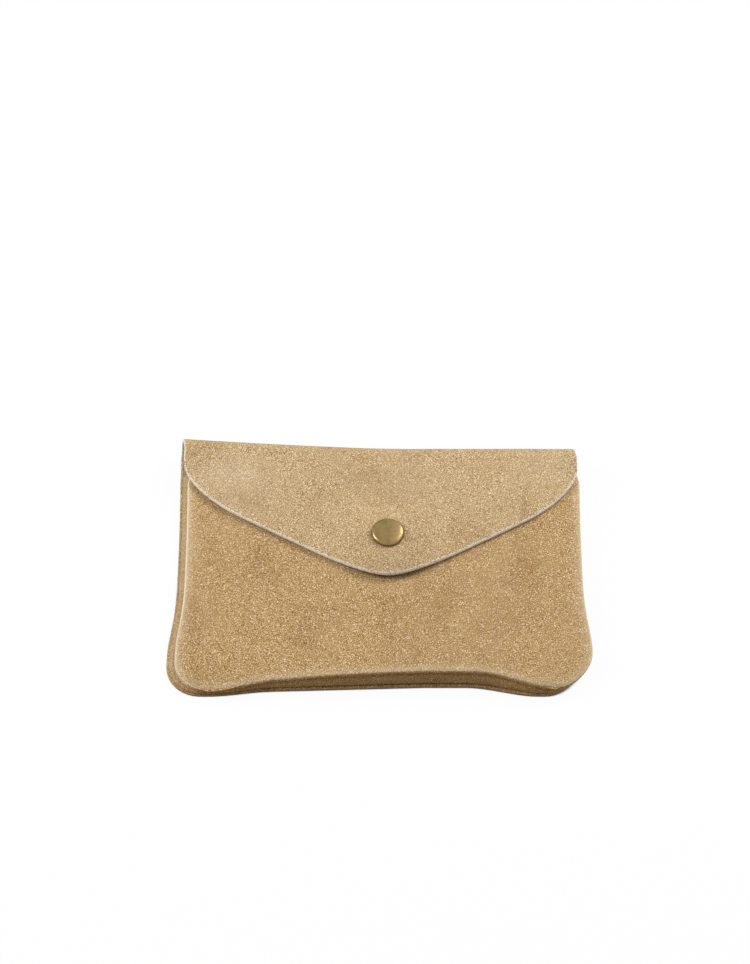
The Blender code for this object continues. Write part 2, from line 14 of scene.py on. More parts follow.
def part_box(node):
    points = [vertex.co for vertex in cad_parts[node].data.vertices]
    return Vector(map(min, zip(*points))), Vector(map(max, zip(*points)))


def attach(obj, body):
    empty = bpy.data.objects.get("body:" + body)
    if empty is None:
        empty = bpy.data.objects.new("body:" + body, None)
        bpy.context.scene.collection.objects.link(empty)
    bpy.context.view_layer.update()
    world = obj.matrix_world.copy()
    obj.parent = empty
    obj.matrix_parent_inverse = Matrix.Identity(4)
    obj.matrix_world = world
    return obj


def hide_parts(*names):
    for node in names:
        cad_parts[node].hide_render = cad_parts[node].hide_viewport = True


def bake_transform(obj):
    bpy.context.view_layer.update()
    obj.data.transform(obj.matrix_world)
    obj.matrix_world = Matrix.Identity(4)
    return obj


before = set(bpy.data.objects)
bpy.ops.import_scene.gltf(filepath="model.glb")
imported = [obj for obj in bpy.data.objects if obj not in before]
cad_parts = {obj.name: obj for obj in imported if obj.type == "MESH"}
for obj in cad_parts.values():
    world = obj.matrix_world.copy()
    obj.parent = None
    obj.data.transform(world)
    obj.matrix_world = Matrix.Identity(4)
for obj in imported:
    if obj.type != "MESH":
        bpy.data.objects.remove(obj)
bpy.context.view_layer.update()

MM = 0.001

# The part's own sizes, repeated here
SUEDE = 1.3
GUSSET_SUEDE = 1.1
LINING = 0.4
THREAD_RADIUS = 0.35
DEPTH = 110.0
CORNER = 13.0
FOLD_RADIUS = 6.0
MOUTH_SETBACK = 4.5
MOUTH_CORNER = 8.6
MOUTH_MIDDLE = 10.4
BELLY = 1.5
TIP_X = 3.3
SNAP_Y = 6.5
CAP_RADIUS = 6.25
SNAP_STACK = 4.5
SNAP_BUMP = 7.0
FLAP_SETTLE = 10.5
FLAP_START = 47.2
POCKET_INSET = 3.0
POCKET_RAMP = 8.0
TOOTH_PITCH = 2.4
TOOTH_WIDTH = 0.8

BOTTOM_Y = -DEPTH / 2
CORNER_Y = BOTTOM_Y + CORNER
FOLD_Y = DEPTH / 2 - FOLD_RADIUS
MOUTH_Y = FOLD_Y - MOUTH_SETBACK
WAIST_Y = (BOTTOM_Y + MOUTH_Y) / 2

# How the real one sits: the front has slipped a little to the right over the back
HALF = 74.65
FLARE = 2.25
HIP_Y = -38.0
MOUTH_FLARE = 1.0
MOUTH_TUCK = 1.5
TUCK_REACH = 7.5
RIGHT_PULL = 2.7
RIGHT_PULL_X, RIGHT_PULL_REACH = 50, 25
RIGHT_PULL_Y, RIGHT_PULL_RISE = CORNER_Y + 4, 14
FRONT_SHIFT = 1.75
BACK_SHIFT = -1.45
FRONT_ARCH = 4.7
BACK_ARCH = 3.8
LEFT_CORNER = 3.5
RIGHT_CORNER = 5.2
BOTTOM_MIDDLE = 10.0
LEFT_FALL = 1.7
RIGHT_FALL = 3.5
QUICK_RISE = 0.55
QUICK_RISE_X, QUICK_RISE_REACH = -61, 24
SLOW_RISE = 0.45
SLOW_RISE_X, SLOW_RISE_REACH = -38, 56
RIGHT_DROP_X, RIGHT_DROP_REACH = 33, 27

# The flap's outline, its raw edge, and the left end of the fold, which is tugged back. The tip and the gap
# under the flap differ a little from the part's, to follow the photograph
FLAP_HALF = 75.75
FLAP_MIDDLE = 0.45
FOLD_MIDDLE = -0.45
FOLD_MIDDLE_SHARE = 0.3
FOLD_OVERHANG = 0.3
TIP_Y = -10.0
TIP_ROUNDING = 11.0
SHOULDER_WIDTH = 22.0
SHOULDER_RISE = 12.0
FLAP_SIDE = 1.0
FLAP_SLOPE = (FLAP_START - FLAP_SIDE - SHOULDER_RISE - TIP_Y) / (
    math.hypot(FLAP_HALF + TIP_X, TIP_ROUNDING) - TIP_ROUNDING
)
FLAP_GAP = 0.45
LEFT_GAP = 0.5
LEFT_GAP_X = -5.0
LEFT_GAP_REACH = 30.0
RAW_WIDTH = 0.65
RAW_DROP = 0.8
EDGE_ROWS = [0.0, 0.15, 0.3, 0.5, 0.7, 0.9, 1.15, 1.5, 2.0, 2.8, 4.0]
EDGE_ROOM = 8.0
TUG_X = 14.0
TUG_REACH = 90.0
FOLD_SAG = 0.5
TUG_FOLD_Y = 4.6
TUG_FOLD_RADIUS = 0.2
TUG_SETTLE = 4.0
TUG_POWER = 1.6

# Spots where the flap's top is made lighter, and a darker spot of its nap, as (x, y, half width, half depth,
# strength)
LIGHTER_SPOTS = [(-58.0, 40.0, 16, 9, 0.2), (62.0, 44.0, 16, 9, 0.12)]
DARK_SPOT = (52.0, 42.0, 11, 6, 0.3)
FLAP_LEAST_Z, FLAP_FADE_Z = 6, 2
RAW_MARK = 0.3
RAW_FADE = 0.5
RAW_HIDDEN = 0.75
RAW_HIDDEN_X, RAW_HIDDEN_REACH_X = 70, 4
RAW_HIDDEN_Y, RAW_HIDDEN_REACH_Y = 41, 3

# Edges turned in along the seams, as (inset, drop, thickness share) from the face to the seam allowance
TURNED_INSET = 3.4
TURNED_EDGE = [
    (2.4, 0.0, 1.0),
    (1.4, 0.02, 1.0),
    (0.8, 0.07, 0.95),
    (0.45, 0.17, 0.9),
    (0.2, 0.35, 0.85),
    (0.05, 0.64, 0.8),
    (0.0, 0.97, 0.75),
    (0.05, 1.25, 0.7),
    (0.3, 1.43, 0.65),
    (0.9, 1.5, 0.6),
    (3.0, 1.5, 0.55),
]
TURNED_OUT = 7
CURL_FULL = 7.5
CURL_LEAST = 0.68

# The front's edge: a pale rim, partly wear and partly a painted highlight, strongest at the left, where the
# light falls, in a wider faint band
RIM_LEFT = 0.95
RIM_RIGHT = 0.5
RIM_BOTTOM = 0.2
RIM_WIDTH = 0.55
RIM_FACING = 0.3
RIM_LAST_DROP = 0.9
BAND = 0.22
BAND_WIDTH = 2.8
# Down-facing turned edges lose the pale rim and take painted shade over these drops
UNDER_PALE_RIM_DROP = 0.4
UNDER_SHADE_DROP = 0.6

# Soft waves in the suede, as their height and size, and a distance that is far from any raw edge
FRONT_RIPPLE, FRONT_RIPPLE_SIZE = 0.12, 22.0
FLAP_RIPPLE, FLAP_RIPPLE_SIZE = 0.2, 26.0
FLAP_RIPPLE_Z = 8
FAR_INSIDE = 9.0

# Edges sharper than this stay sharp or are eased, and a rounding takes at most this share of a side
HARD_EDGE = math.radians(40)
MOST_ROUNDING = 0.45


def mix(low, high, share):
    return low + (high - low) * share


def ease(share):
    share = np.clip(share, 0, 1)
    return share * share * (3 - 2 * share)


def climb(y):
    return (y - BOTTOM_Y) / (MOUTH_Y - BOTTOM_Y)


def side(y, inset=0.0):
    """Half the width of a panel at y: drawn in at the waist, with its bottom corners rounded."""
    fall = np.clip((WAIST_Y - y) / (WAIST_Y - HIP_Y), 0, 1)
    rise = np.clip((y - WAIST_Y) / (MOUTH_Y - WAIST_Y), 0, 1)
    half = HALF + FLARE * fall**3 * (4 - 3 * fall) + MOUTH_FLARE * rise**2
    drop = np.maximum(CORNER_Y - y, 0)
    return half - CORNER + np.sqrt(np.maximum((CORNER - inset) ** 2 - drop**2, 0))


def arch(x):
    """How far the bottom edge is drawn in, as a share: two rises from the left and a fall at the right."""
    rise = QUICK_RISE * ease((x - QUICK_RISE_X) / QUICK_RISE_REACH)
    rise = rise + SLOW_RISE * np.clip((x - SLOW_RISE_X) / SLOW_RISE_REACH, 0, 1)
    return rise * (1 - ease((x - RIGHT_DROP_X) / RIGHT_DROP_REACH))


def drawn(x, y, height, shift):
    """Where a point of a panel goes once its bottom edge is drawn in and its right corner pulled round."""
    near = ease((x - RIGHT_PULL_X) / RIGHT_PULL_REACH) * ease((RIGHT_PULL_Y - y) / RIGHT_PULL_RISE)
    return x - RIGHT_PULL * near, y + height * arch(x - shift) * np.maximum(1 - climb(y), 0) ** 2


def tuck(x, y):
    """The x of a point of the front panel, whose mouth corners are tucked in under the flap."""
    share = (x - FRONT_SHIFT) / HALF
    return x - MOUTH_TUCK * share * ease((y - MOUTH_Y + TUCK_REACH) / TUCK_REACH)


def front_z(x, y):
    """Height of the front panel's face."""
    u = np.clip((x - FRONT_SHIFT) / side(y), -1, 1)
    v = np.clip(climb(y), 0, 1)
    left = mix(LEFT_CORNER, BOTTOM_MIDDLE, 1 - np.abs(u) ** LEFT_FALL)
    right = mix(RIGHT_CORNER, BOTTOM_MIDDLE, 1 - np.abs(u) ** RIGHT_FALL)
    mouth = mix(MOUTH_CORNER, MOUTH_MIDDLE, 1 - u * u)
    return mix(np.where(u < 0, left, right), mouth, v) + BELLY * np.sin(np.pi * v) * (1 - u * u)


def tug(x):
    """How much the fold's left end is tugged back, from 0 to 1."""
    return np.clip((TUG_X - x) / TUG_REACH, 0, 1) ** TUG_POWER


def fold_radius(x):
    return FOLD_RADIUS + TUG_FOLD_RADIUS * tug(x)


def fold_y(x):
    return FOLD_Y - FOLD_SAG + TUG_FOLD_Y * tug(x)


def flap_edge(x):
    """The y of the flap's cut edge at x."""
    across = np.abs(x - TIP_X)
    shoulder = np.clip((np.abs(x - FLAP_MIDDLE) - FLAP_HALF + SHOULDER_WIDTH) / SHOULDER_WIDTH, 0, 1)
    rise = SHOULDER_RISE * (1 - np.sqrt(np.maximum(1 - shoulder**2, 0)))
    return TIP_Y + FLAP_SLOPE * (np.hypot(across, TIP_ROUNDING) - TIP_ROUNDING) + rise


def flap_z(x, y):
    """Height of the flap's face: from the fold it settles over the front panel and the snap."""
    from_snap = np.maximum(np.hypot(x - TIP_X, y - SNAP_Y) - CAP_RADIUS, 0)
    bump = np.exp(-((from_snap / SNAP_BUMP) ** 2) / 2)
    gap = FLAP_GAP + LEFT_GAP * ease((LEFT_GAP_X - x) / LEFT_GAP_REACH)
    settled = front_z(x, y) + mix(gap, SNAP_STACK, bump) + SUEDE
    settle = FLAP_SETTLE + TUG_SETTLE * tug(x)
    return mix(2 * fold_radius(x), settled, ease((fold_y(x) - y) / settle))


def raw_drop(inside):
    """How far the face falls away at a place that far inside the raw edge."""
    near = np.clip(1 - inside / RAW_WIDTH, 0, 1)
    return RAW_DROP * (1 - np.sqrt(1 - near**2))


def ripple(x, y, z, size, seed):
    """A soft wave for cloth and leather, from -1 to 1."""
    return np.array([noise.noise((a / size + seed, b / size, c / size)) for a, b, c in zip(x, y, z)])


def box(name):
    """The lowest and highest corners of a part's node."""
    low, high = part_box(name)
    return Vector(low) / MM, Vector(high) / MM


def collection_add(name, mesh, stuff):
    made = bpy.data.objects.new(name, mesh)
    mesh.materials.append(stuff)
    bpy.context.scene.collection.objects.link(made)
    return made


def mesh_of(name, points, faces, stuff, marks=None):
    """A smooth mesh from points in millimetres, with its rest place kept for the materials."""
    mesh = bpy.data.meshes.new(name)
    mesh.from_pydata((np.asarray(points) * MM).tolist(), [], faces)
    mesh.shade_smooth()
    nap = mesh.attributes.new("nap", "FLOAT_VECTOR", "POINT")
    nap.data.foreach_set("vector", np.asarray(points, np.float32).ravel())
    for mark, values in (marks or {}).items():
        made = mesh.attributes.new(mark, "FLOAT", "POINT")
        made.data.foreach_set("value", np.asarray(values, np.float32))
    return collection_add(name, mesh, stuff)


def unit(ways):
    """Directions made one long."""
    return ways / np.maximum(np.linalg.norm(ways, axis=1, keepdims=True), 1e-12)


def normals_of(points, quads):
    a, b, c, d = (points[quads[:, k]] for k in range(4))
    face = np.cross(c - a, d - b)
    total = np.zeros_like(points)
    for k in range(4):
        np.add.at(total, quads[:, k], face)
    return unit(total)


def sheet(name, points, quads, thickness, stuff, marks=None, bulge=0.12, facing=None):
    """A sheet of leather or cloth: the face is given, and the back of it and its cut edge are added.

    facing gives the way the face looks, where it is known beforehand and not nan.
    """
    points = np.asarray(points, float)
    quads = np.asarray(quads, int)
    count = len(points)
    normal = normals_of(points, quads)
    if facing is not None:
        normal = np.where(np.isnan(facing), normal, facing)
    thickness = np.broadcast_to(np.asarray(thickness, float), (count,))
    inner = points - normal * thickness[:, None]
    edges = {}
    for quad in quads.tolist():
        for a, b in zip(quad, quad[1:] + quad[:1]):
            edges[(a, b)] = True
    rim = [(a, b) for a, b in edges if (b, a) not in edges]
    outward = np.zeros_like(points)
    for a, b in rim:
        way = np.cross(points[b] - points[a], normal[a])
        outward[a] += way
        outward[b] += way
    rim_points = sorted({a for a, _ in rim})
    slot = {p: 2 * count + k for k, p in enumerate(rim_points)}
    way = unit(outward[rim_points])
    middle = (points[rim_points] + inner[rim_points]) / 2 + way * bulge
    faces = quads.tolist() + [[q + count for q in quad[::-1]] for quad in quads.tolist()]
    for a, b in rim:
        faces.append([b, a, slot[a], slot[b]])
        faces.append([slot[b], slot[a], a + count, b + count])
    spread = {}
    for mark, values in (marks or {}).items():
        spread[mark] = np.concatenate([values, values, np.asarray(values)[rim_points]])
    return mesh_of(name, np.concatenate([points, inner, middle]), faces, stuff, spread)


def rounded(profile, radius, loop=False):
    """A profile with its corners rounded off."""
    points = np.array(profile, float)
    made = [] if loop else [tuple(profile[0])]
    for k in range(0 if loop else 1, len(points) if loop else len(points) - 1):
        before, spot, after = points[k - 1], points[k], points[(k + 1) % len(points)]
        ends = []
        for other in (before, after):
            reach = np.linalg.norm(other - spot)
            ends.append(spot + (other - spot) * min(radius / reach, MOST_ROUNDING))
        made += [tuple(ends[0]), tuple(ends[0] / 4 + spot / 2 + ends[1] / 4), tuple(ends[1])]
    return made if loop else [*made, tuple(profile[-1])]


def turned(name, profile, centre, stuff, steps=72):
    """A turned piece; its profile of (radius, height) runs from the axis out and down, or is a loop."""
    points = []
    rings = []
    for radius, height in profile:
        if radius == 0:
            rings.append([len(points)] * steps)
            points.append((centre[0], centre[1], centre[2] + height))
            continue
        rings.append(list(range(len(points), len(points) + steps)))
        for step in range(steps):
            turn = 2 * math.pi * step / steps
            across, along = radius * math.cos(turn), radius * math.sin(turn)
            points.append((centre[0] + across, centre[1] + along, centre[2] + height))
    if profile[0][0] > 0:
        rings.append(rings[0])
    faces = []
    for upper, lower in zip(rings, rings[1:]):
        for k in range(steps):
            corners = [upper[k], lower[k], lower[(k + 1) % steps], upper[(k + 1) % steps]]
            faces.append(list(dict.fromkeys(corners)))
    made = mesh_of(name, points, faces, stuff)
    made.data.set_sharp_from_angle(angle=HARD_EDGE)
    return made


def rings_of(path, radii, sides):
    """Points and faces of a closed tube along a path that stays near level."""
    path = np.asarray(path, float)
    along = unit(np.gradient(path, axis=0))
    across = unit(np.cross(along, (0, 0, 1)))
    up = np.cross(across, along)
    turns = 2 * np.pi * np.arange(sides) / sides
    points = []
    for spot, right, above, radius in zip(path, across, up, radii):
        for turn in turns:
            points.append(spot + radius * (right * math.cos(turn) + above * math.sin(turn)))
    last = (len(path) - 1) * sides
    faces = [list(range(sides))]
    for base in range(0, last, sides):
        for k in range(sides):
            first, second = base + k, base + (k + 1) % sides
            faces.append([first, first + sides, second + sides, second])
    faces.append([last + k for k in reversed(range(sides))])
    return points, faces


def softened(name, node, width, stuff):
    """A copy of a part's node with its hard edges eased."""
    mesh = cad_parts[node].data.copy()
    mesh.materials.clear()
    if "custom_normal" in mesh.attributes:
        mesh.attributes.remove(mesh.attributes["custom_normal"])
    points = np.array([point.co for point in mesh.vertices]) / MM
    nap = mesh.attributes.new("nap", "FLOAT_VECTOR", "POINT")
    nap.data.foreach_set("vector", points.astype(np.float32).ravel())
    mesh.shade_smooth()
    made = collection_add(name, mesh, stuff)
    made.modifiers.new("Weld", "WELD").merge_threshold = 0.01 * MM
    rounding = made.modifiers.new("Rounding", "BEVEL")
    rounding.width = width * MM
    rounding.segments = 3
    rounding.limit_method = "ANGLE"
    rounding.angle_limit = HARD_EDGE
    rounding.harden_normals = True
    return made


# Materials
def shader(name):
    made = bpy.data.materials.new(name)
    made.use_nodes = True
    return made, made.node_tree, made.node_tree.nodes["Principled BSDF"]


def feed(tree, made, inputs):
    """Links a node's inputs to other sockets, or sets their values."""
    for key, value in inputs.items():
        if isinstance(value, bpy.types.NodeSocket):
            tree.links.new(value, made.inputs[key])
        else:
            made.inputs[key].default_value = value


def node(tree, kind, inputs=None, **settings):
    made = tree.nodes.new("ShaderNode" + kind)
    for key, value in settings.items():
        setattr(made, key, value)
    feed(tree, made, inputs or {})
    return made


def cloud(tree, coords, scale, detail, roughness, distortion=0.0):
    inputs = {"Vector": coords, "Scale": scale, "Detail": detail}
    inputs |= {"Roughness": roughness, "Distortion": distortion}
    return node(tree, "TexNoise", inputs).outputs["Fac"]


def ramp(tree, share, stops):
    made = node(tree, "ValToRGB", {"Fac": share})
    elements = made.color_ramp.elements
    while len(elements) < len(stops):
        elements.new(0.5)
    for element, (place, colour) in zip(elements, stops):
        element.position = place
        element.color = (*colour, 1)
    return made.outputs["Color"]


def blend_colour(tree, share, first, second, mode="MIX"):
    inputs = {0: share}
    for key, colour in ((6, first), (7, second)):
        inputs[key] = (*colour, 1) if isinstance(colour, tuple) else colour
    return node(tree, "Mix", inputs, data_type="RGBA", blend_type=mode).outputs[2]


def maths(tree, operation, first, second):
    return node(tree, "Math", {0: first, 1: second}, operation=operation).outputs[0]


def spread(tree, value, low, high, to_low, to_high):
    """A value from one span moved to another."""
    made = node(tree, "MapRange", {"Value": value, 1: low, 2: high, 3: to_low, 4: to_high})
    return made.outputs[0]


def dress(tree, principled, colour, height, strength, depth, **values):
    """Gives a material its colour, its relief, whose depth is in metres, and its other values."""
    inputs = {"Height": height, "Strength": strength, "Distance": depth}
    relief = node(tree, "Bump", inputs).outputs[0]
    feed(tree, principled, {"Base Color": colour, "Normal": relief} | values)


def mark(tree, name):
    return node(tree, "Attribute", attribute_name=name).outputs["Fac"]


def rest_place(tree, stretch=(1.0, 1.0, 1.0)):
    place = node(tree, "Attribute", attribute_name="nap").outputs["Vector"]
    scaled = node(tree, "VectorMath", {0: place, 1: stretch}, operation="MULTIPLY")
    return scaled.outputs["Vector"]


NAP_STRETCH = (1.0, 0.75, 1.0)
SHEEN_TINT = (1.0, 0.88, 0.7, 1)
# Tint of the shade mark: painted shade on down-facing edges, and the flap's darker nap spot
PAINTED_SHADE_AND_DARK_NAP_TINT = (1.0, 0.89, 0.70)
# Colour of the worn mark: partly wear, partly painted light on lit sides
WEAR_AND_PAINTED_LIGHT_COLOUR = (1.0, 0.84, 0.60)
# The raw edge's pale cut fibre, brightened beyond its own colour as painted light where it faces away from
# the lamps
FIBRE_DARK = (0.86, 0.72, 0.57)
FIBRE_LIGHT = (1.0, 0.93, 0.80)


def suede(name, dark, middle, light, brushed):
    """Napped leather: curly grain, specks, brushed patches, and where marked painted shade, pale rims of
    wear and painted light, and a raw edge brightened with painted light.
    """
    made, tree, principled = shader(name)
    place = rest_place(tree, NAP_STRETCH)
    grain = cloud(tree, place, scale=3.2, detail=0.6, roughness=0.5, distortion=0.5)
    specks = cloud(tree, place, scale=6.0, detail=1.0, roughness=0.5)
    nap = maths(tree, "ADD", maths(tree, "MULTIPLY", grain, 0.7), maths(tree, "MULTIPLY", specks, 0.3))
    colour = ramp(tree, nap, [(0.34, dark), (0.5, middle), (0.66, light)])
    patches = cloud(tree, place, scale=0.035, detail=2.5, roughness=0.55, distortion=0.3)
    colour = blend_colour(tree, spread(tree, patches, 0.48, 0.7, 0.0, 0.4), colour, brushed)
    rubbed = cloud(tree, place, scale=0.06, detail=3.0, roughness=0.6, distortion=0.5)
    colour = blend_colour(tree, spread(tree, rubbed, 0.5, 0.75, 0.0, 0.35), colour, middle, "MULTIPLY")
    # Painted shade on down-facing edges, and the flap's darker nap spot
    colour = blend_colour(tree, mark(tree, "shade"), colour, PAINTED_SHADE_AND_DARK_NAP_TINT, "MULTIPLY")
    # Pale rims and spots: partly wear, partly painted light
    colour = blend_colour(tree, mark(tree, "worn"), colour, WEAR_AND_PAINTED_LIGHT_COLOUR)
    # The pale raw edge, partly painted light
    ragged = maths(tree, "ADD", mark(tree, "raw"), spread(tree, grain, 0.3, 0.7, -0.7, 0.55))
    fibre = ramp(tree, specks, [(0.3, FIBRE_DARK), (0.7, FIBRE_LIGHT)])
    colour = blend_colour(tree, spread(tree, ragged, 0.35, 0.6, 0.0, 1.0), colour, fibre)
    dress(tree, principled, colour, nap, strength=0.4, depth=0.0003, Roughness=0.95)
    feed(tree, principled, {"Specular IOR Level": 0.03, "Sheen Weight": 0.03})
    feed(tree, principled, {"Sheen Roughness": 0.5, "Sheen Tint": SHEEN_TINT})
    return made


def woven(name, dark, light, pitch_x, pitch_y):
    """Plain woven cloth, its threads crossing at the given pitches."""
    made, tree, principled = shader(name)
    place = rest_place(tree)
    wave_step = math.pi / 10
    bands = []
    for direction, pitch in (("X", pitch_x), ("Y", pitch_y)):
        inputs = {"Vector": place, "Scale": wave_step / pitch, "Distortion": 0.6, "Detail Scale": 2.0}
        bands.append(node(tree, "TexWave", inputs, bands_direction=direction).outputs["Fac"])
    threads = maths(tree, "MULTIPLY", bands[0], bands[1])
    slubs = cloud(tree, place, scale=0.5, detail=3.0, roughness=0.6)
    tone = maths(tree, "ADD", maths(tree, "MULTIPLY", threads, 0.7), maths(tree, "MULTIPLY", slubs, 0.4))
    colour = ramp(tree, tone, [(0.15, dark), (0.75, light)])
    dress(tree, principled, colour, threads, strength=0.5, depth=0.0001, Roughness=0.9)
    feed(tree, principled, {"Specular IOR Level": 0.2})
    return made


def twisted(name, dark, light):
    """Sewing thread: plies running slantwise round it."""
    made, tree, principled = shader(name)
    inputs = {"Vector": rest_place(tree), "Scale": 0.55, "Distortion": 0.4}
    plies = node(tree, "TexWave", inputs, bands_direction="DIAGONAL").outputs["Fac"]
    colour = ramp(tree, plies, [(0.2, dark), (0.8, light)])
    dress(tree, principled, colour, plies, strength=0.4, depth=0.0001, Roughness=0.75)
    return made


def metal(name, colour, dull, roughness):
    """Handled metal: a worn face, with duller patches and fine marks."""
    made, tree, principled = shader(name)
    place = rest_place(tree)
    tarnish = cloud(tree, place, scale=0.45, detail=4.0, roughness=0.6, distortion=0.2)
    marks = cloud(tree, place, scale=6.0, detail=3.0, roughness=0.7)
    face = ramp(tree, tarnish, [(0.3, dull), (0.65, colour)])
    worn = spread(tree, tarnish, 0.3, 0.7, roughness + 0.1, roughness)
    dress(tree, principled, face, marks, strength=0.08, depth=0.00005, Roughness=worn, Metallic=1.0)
    return made


# Dark, middle and light nap, and the brushed patches
FLAP_TONES = [(0.21, 0.123, 0.041), (0.52, 0.352, 0.172), (0.92, 0.70, 0.415), (0.555, 0.40, 0.235)]
BODY_TONES = [(0.18, 0.09, 0.025), (0.47, 0.294, 0.121), (0.89, 0.63, 0.315), (0.50, 0.325, 0.155)]
flap_suede = suede("flap_suede", *FLAP_TONES)
body_suede = suede("tan_suede", *BODY_TONES)
lining = woven("lining_cloth", (0.26, 0.165, 0.085), (0.46, 0.32, 0.19), 0.45, 0.5)
tape_cloth = woven("zip_tape_cloth", (0.13, 0.08, 0.04), (0.33, 0.22, 0.12), 0.5, 0.9)
thread = twisted("sewing_thread", (0.28, 0.19, 0.10), (0.52, 0.38, 0.22))
brass = metal("aged_brass", (0.31, 0.215, 0.087), (0.20, 0.136, 0.056), 0.26)
steel = metal("spring_steel", (0.58, 0.58, 0.56), (0.42, 0.42, 0.40), 0.22)


def fit(piece, body, slot, *nodes):
    """Lets a piece ride on a body in place of the part's nodes, which it hides; slot, their finish, is not
    used.
    """
    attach(piece, body)
    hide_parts(*nodes)


# The front, and the back, fold and flap, which are one sheet of suede
def corner_turn(count):
    return np.pi / 2 * np.arange(1, count + 1) / count


def panel(rows, columns):
    """Faces of a grid of rows, and its ring of edge points: down the left, along the last row, up again."""
    quads = []
    for j in range(rows - 1):
        for i in range(columns - 1):
            first = j * columns + i
            quads.append((first, first + columns, first + columns + 1, first + 1))
    left = [j * columns for j in range(rows)]
    bottom = [(rows - 1) * columns + i for i in range(1, columns - 1)]
    right = [j * columns + columns - 1 for j in reversed(range(rows))]
    return quads, left + bottom + right


def panel_grid(top_y, inset, shift, columns, side_rows, corner_rows):
    """A panel's points as x and y, row by row, and its rows' angles round the bottom corners."""
    turn = corner_turn(corner_rows)
    straight = np.linspace(top_y, CORNER_Y, side_rows)
    rows_y = np.concatenate([straight, CORNER_Y - (CORNER - inset) * np.sin(turn)])
    u = np.linspace(-1, 1, columns)
    x = (shift + u[None, :] * side(rows_y, inset)[:, None]).ravel()
    return x, np.repeat(rows_y, columns), [0.0] * side_rows + turn.tolist()


def strip(quads, inner, outer):
    quads.extend(zip(inner, outer, outer[1:], inner[1:]))


def ring_normals(turns, columns):
    """Which way the outline faces at each ring point; turns are the rows' angles round a bottom corner."""
    left = [(-math.cos(t), -math.sin(t)) for t in turns]
    bottom = [(0.0, -1.0)] * (columns - 2)
    right = [(math.cos(t), -math.sin(t)) for t in reversed(turns)]
    return np.array(left + bottom + right)


def curl(x, y):
    """How tall the turned edges are at a place on the outline, as a share of their full height."""
    return np.clip(front_z(x, y) / CURL_FULL, CURL_LEAST, 1)


def make_front():
    columns = 200
    x, y, turns = panel_grid(MOUTH_Y, TURNED_INSET, FRONT_SHIFT, columns, side_rows=100, corner_rows=18)
    quads, ring = panel(len(turns), columns)
    way = ring_normals(turns, columns)
    z = front_z(x, y)
    thick = np.full(len(x), SUEDE)
    from_side = side(y, TURNED_INSET) - np.abs(x - FRONT_SHIFT)
    deep = TURNED_INSET + np.minimum(from_side, y - BOTTOM_Y - TURNED_INSET)
    worn = BAND * np.exp(-((deep / BAND_WIDTH) ** 2))
    shade = np.zeros(len(x))
    rim = np.where(way[:, 0] > RIM_FACING, RIM_RIGHT, RIM_BOTTOM)
    rim = np.where(way[:, 0] < -RIM_FACING, RIM_LEFT, rim)
    under = np.clip(-way[:, 1], 0, 1)
    inner = ring
    for inset, drop, share in TURNED_EDGE:
        outer = list(range(len(x), len(x) + len(ring)))
        px = x[ring] + way[:, 0] * (TURNED_INSET - inset)
        py = y[ring] + way[:, 1] * (TURNED_INSET - inset)
        pz = front_z(px, py) - drop * curl(px, py)
        x, y, z = np.append(x, px), np.append(y, py), np.append(z, pz)
        thick = np.append(thick, np.full(len(ring), SUEDE * share))
        # The pale rim is partly wear and partly a painted highlight on the lit sides; down-facing edges lose
        # it and take painted shade
        shown = 1.0 if drop < RIM_LAST_DROP else 0.0
        rim_wear_and_highlight = rim * math.exp(-((inset / RIM_WIDTH) ** 2)) + BAND * math.exp(-((inset / BAND_WIDTH) ** 2))
        worn = np.append(worn, shown * rim_wear_and_highlight * (1 - under * ease(drop / UNDER_PALE_RIM_DROP)))
        shade = np.append(shade, under * ease(drop / UNDER_SHADE_DROP))
        strip(quads, inner, outer)
        inner = outer
    z = z + FRONT_RIPPLE * ripple(x, y, z, FRONT_RIPPLE_SIZE, seed=4.0)
    marks = {"worn": np.clip(worn, 0, 1), "shade": shade}
    points = np.stack([*drawn(tuck(x, y), y, FRONT_ARCH, FRONT_SHIFT), z], 1)
    return sheet("front_suede", points, quads, thick, body_suede, marks)


def nap_spot(x, y, spot):
    """How strongly a brushed spot of the flap shows at a place."""
    middle_x, middle_y, wide, deep, strength = spot
    return strength * np.exp(-(((x - middle_x) / wide) ** 2) - ((y - middle_y) / deep) ** 2)


def raw_outline():
    """Points along the flap's raw edge, up to the fold."""
    edge_steps, side_steps = 900, 40
    x = np.linspace(FLAP_MIDDLE - FLAP_HALF, FLAP_MIDDLE + FLAP_HALF, edge_steps)
    up = np.linspace(FLAP_START - FLAP_SIDE, FLAP_START + FOLD_RADIUS, side_steps)
    sides = [np.stack([np.full_like(up, FLAP_MIDDLE + way * FLAP_HALF), up], 1) for way in (-1, 1)]
    return np.concatenate([np.stack([x, flap_edge(x)], 1), *sides])


def row_look(kind, value):
    """The way a row of the body looks, or nan for the back, where it follows from the faces."""
    if kind == "back":
        return (np.nan,) * 3
    if kind == "fold":
        return 0, math.cos(value), math.sin(value)
    return 0, 0, 1


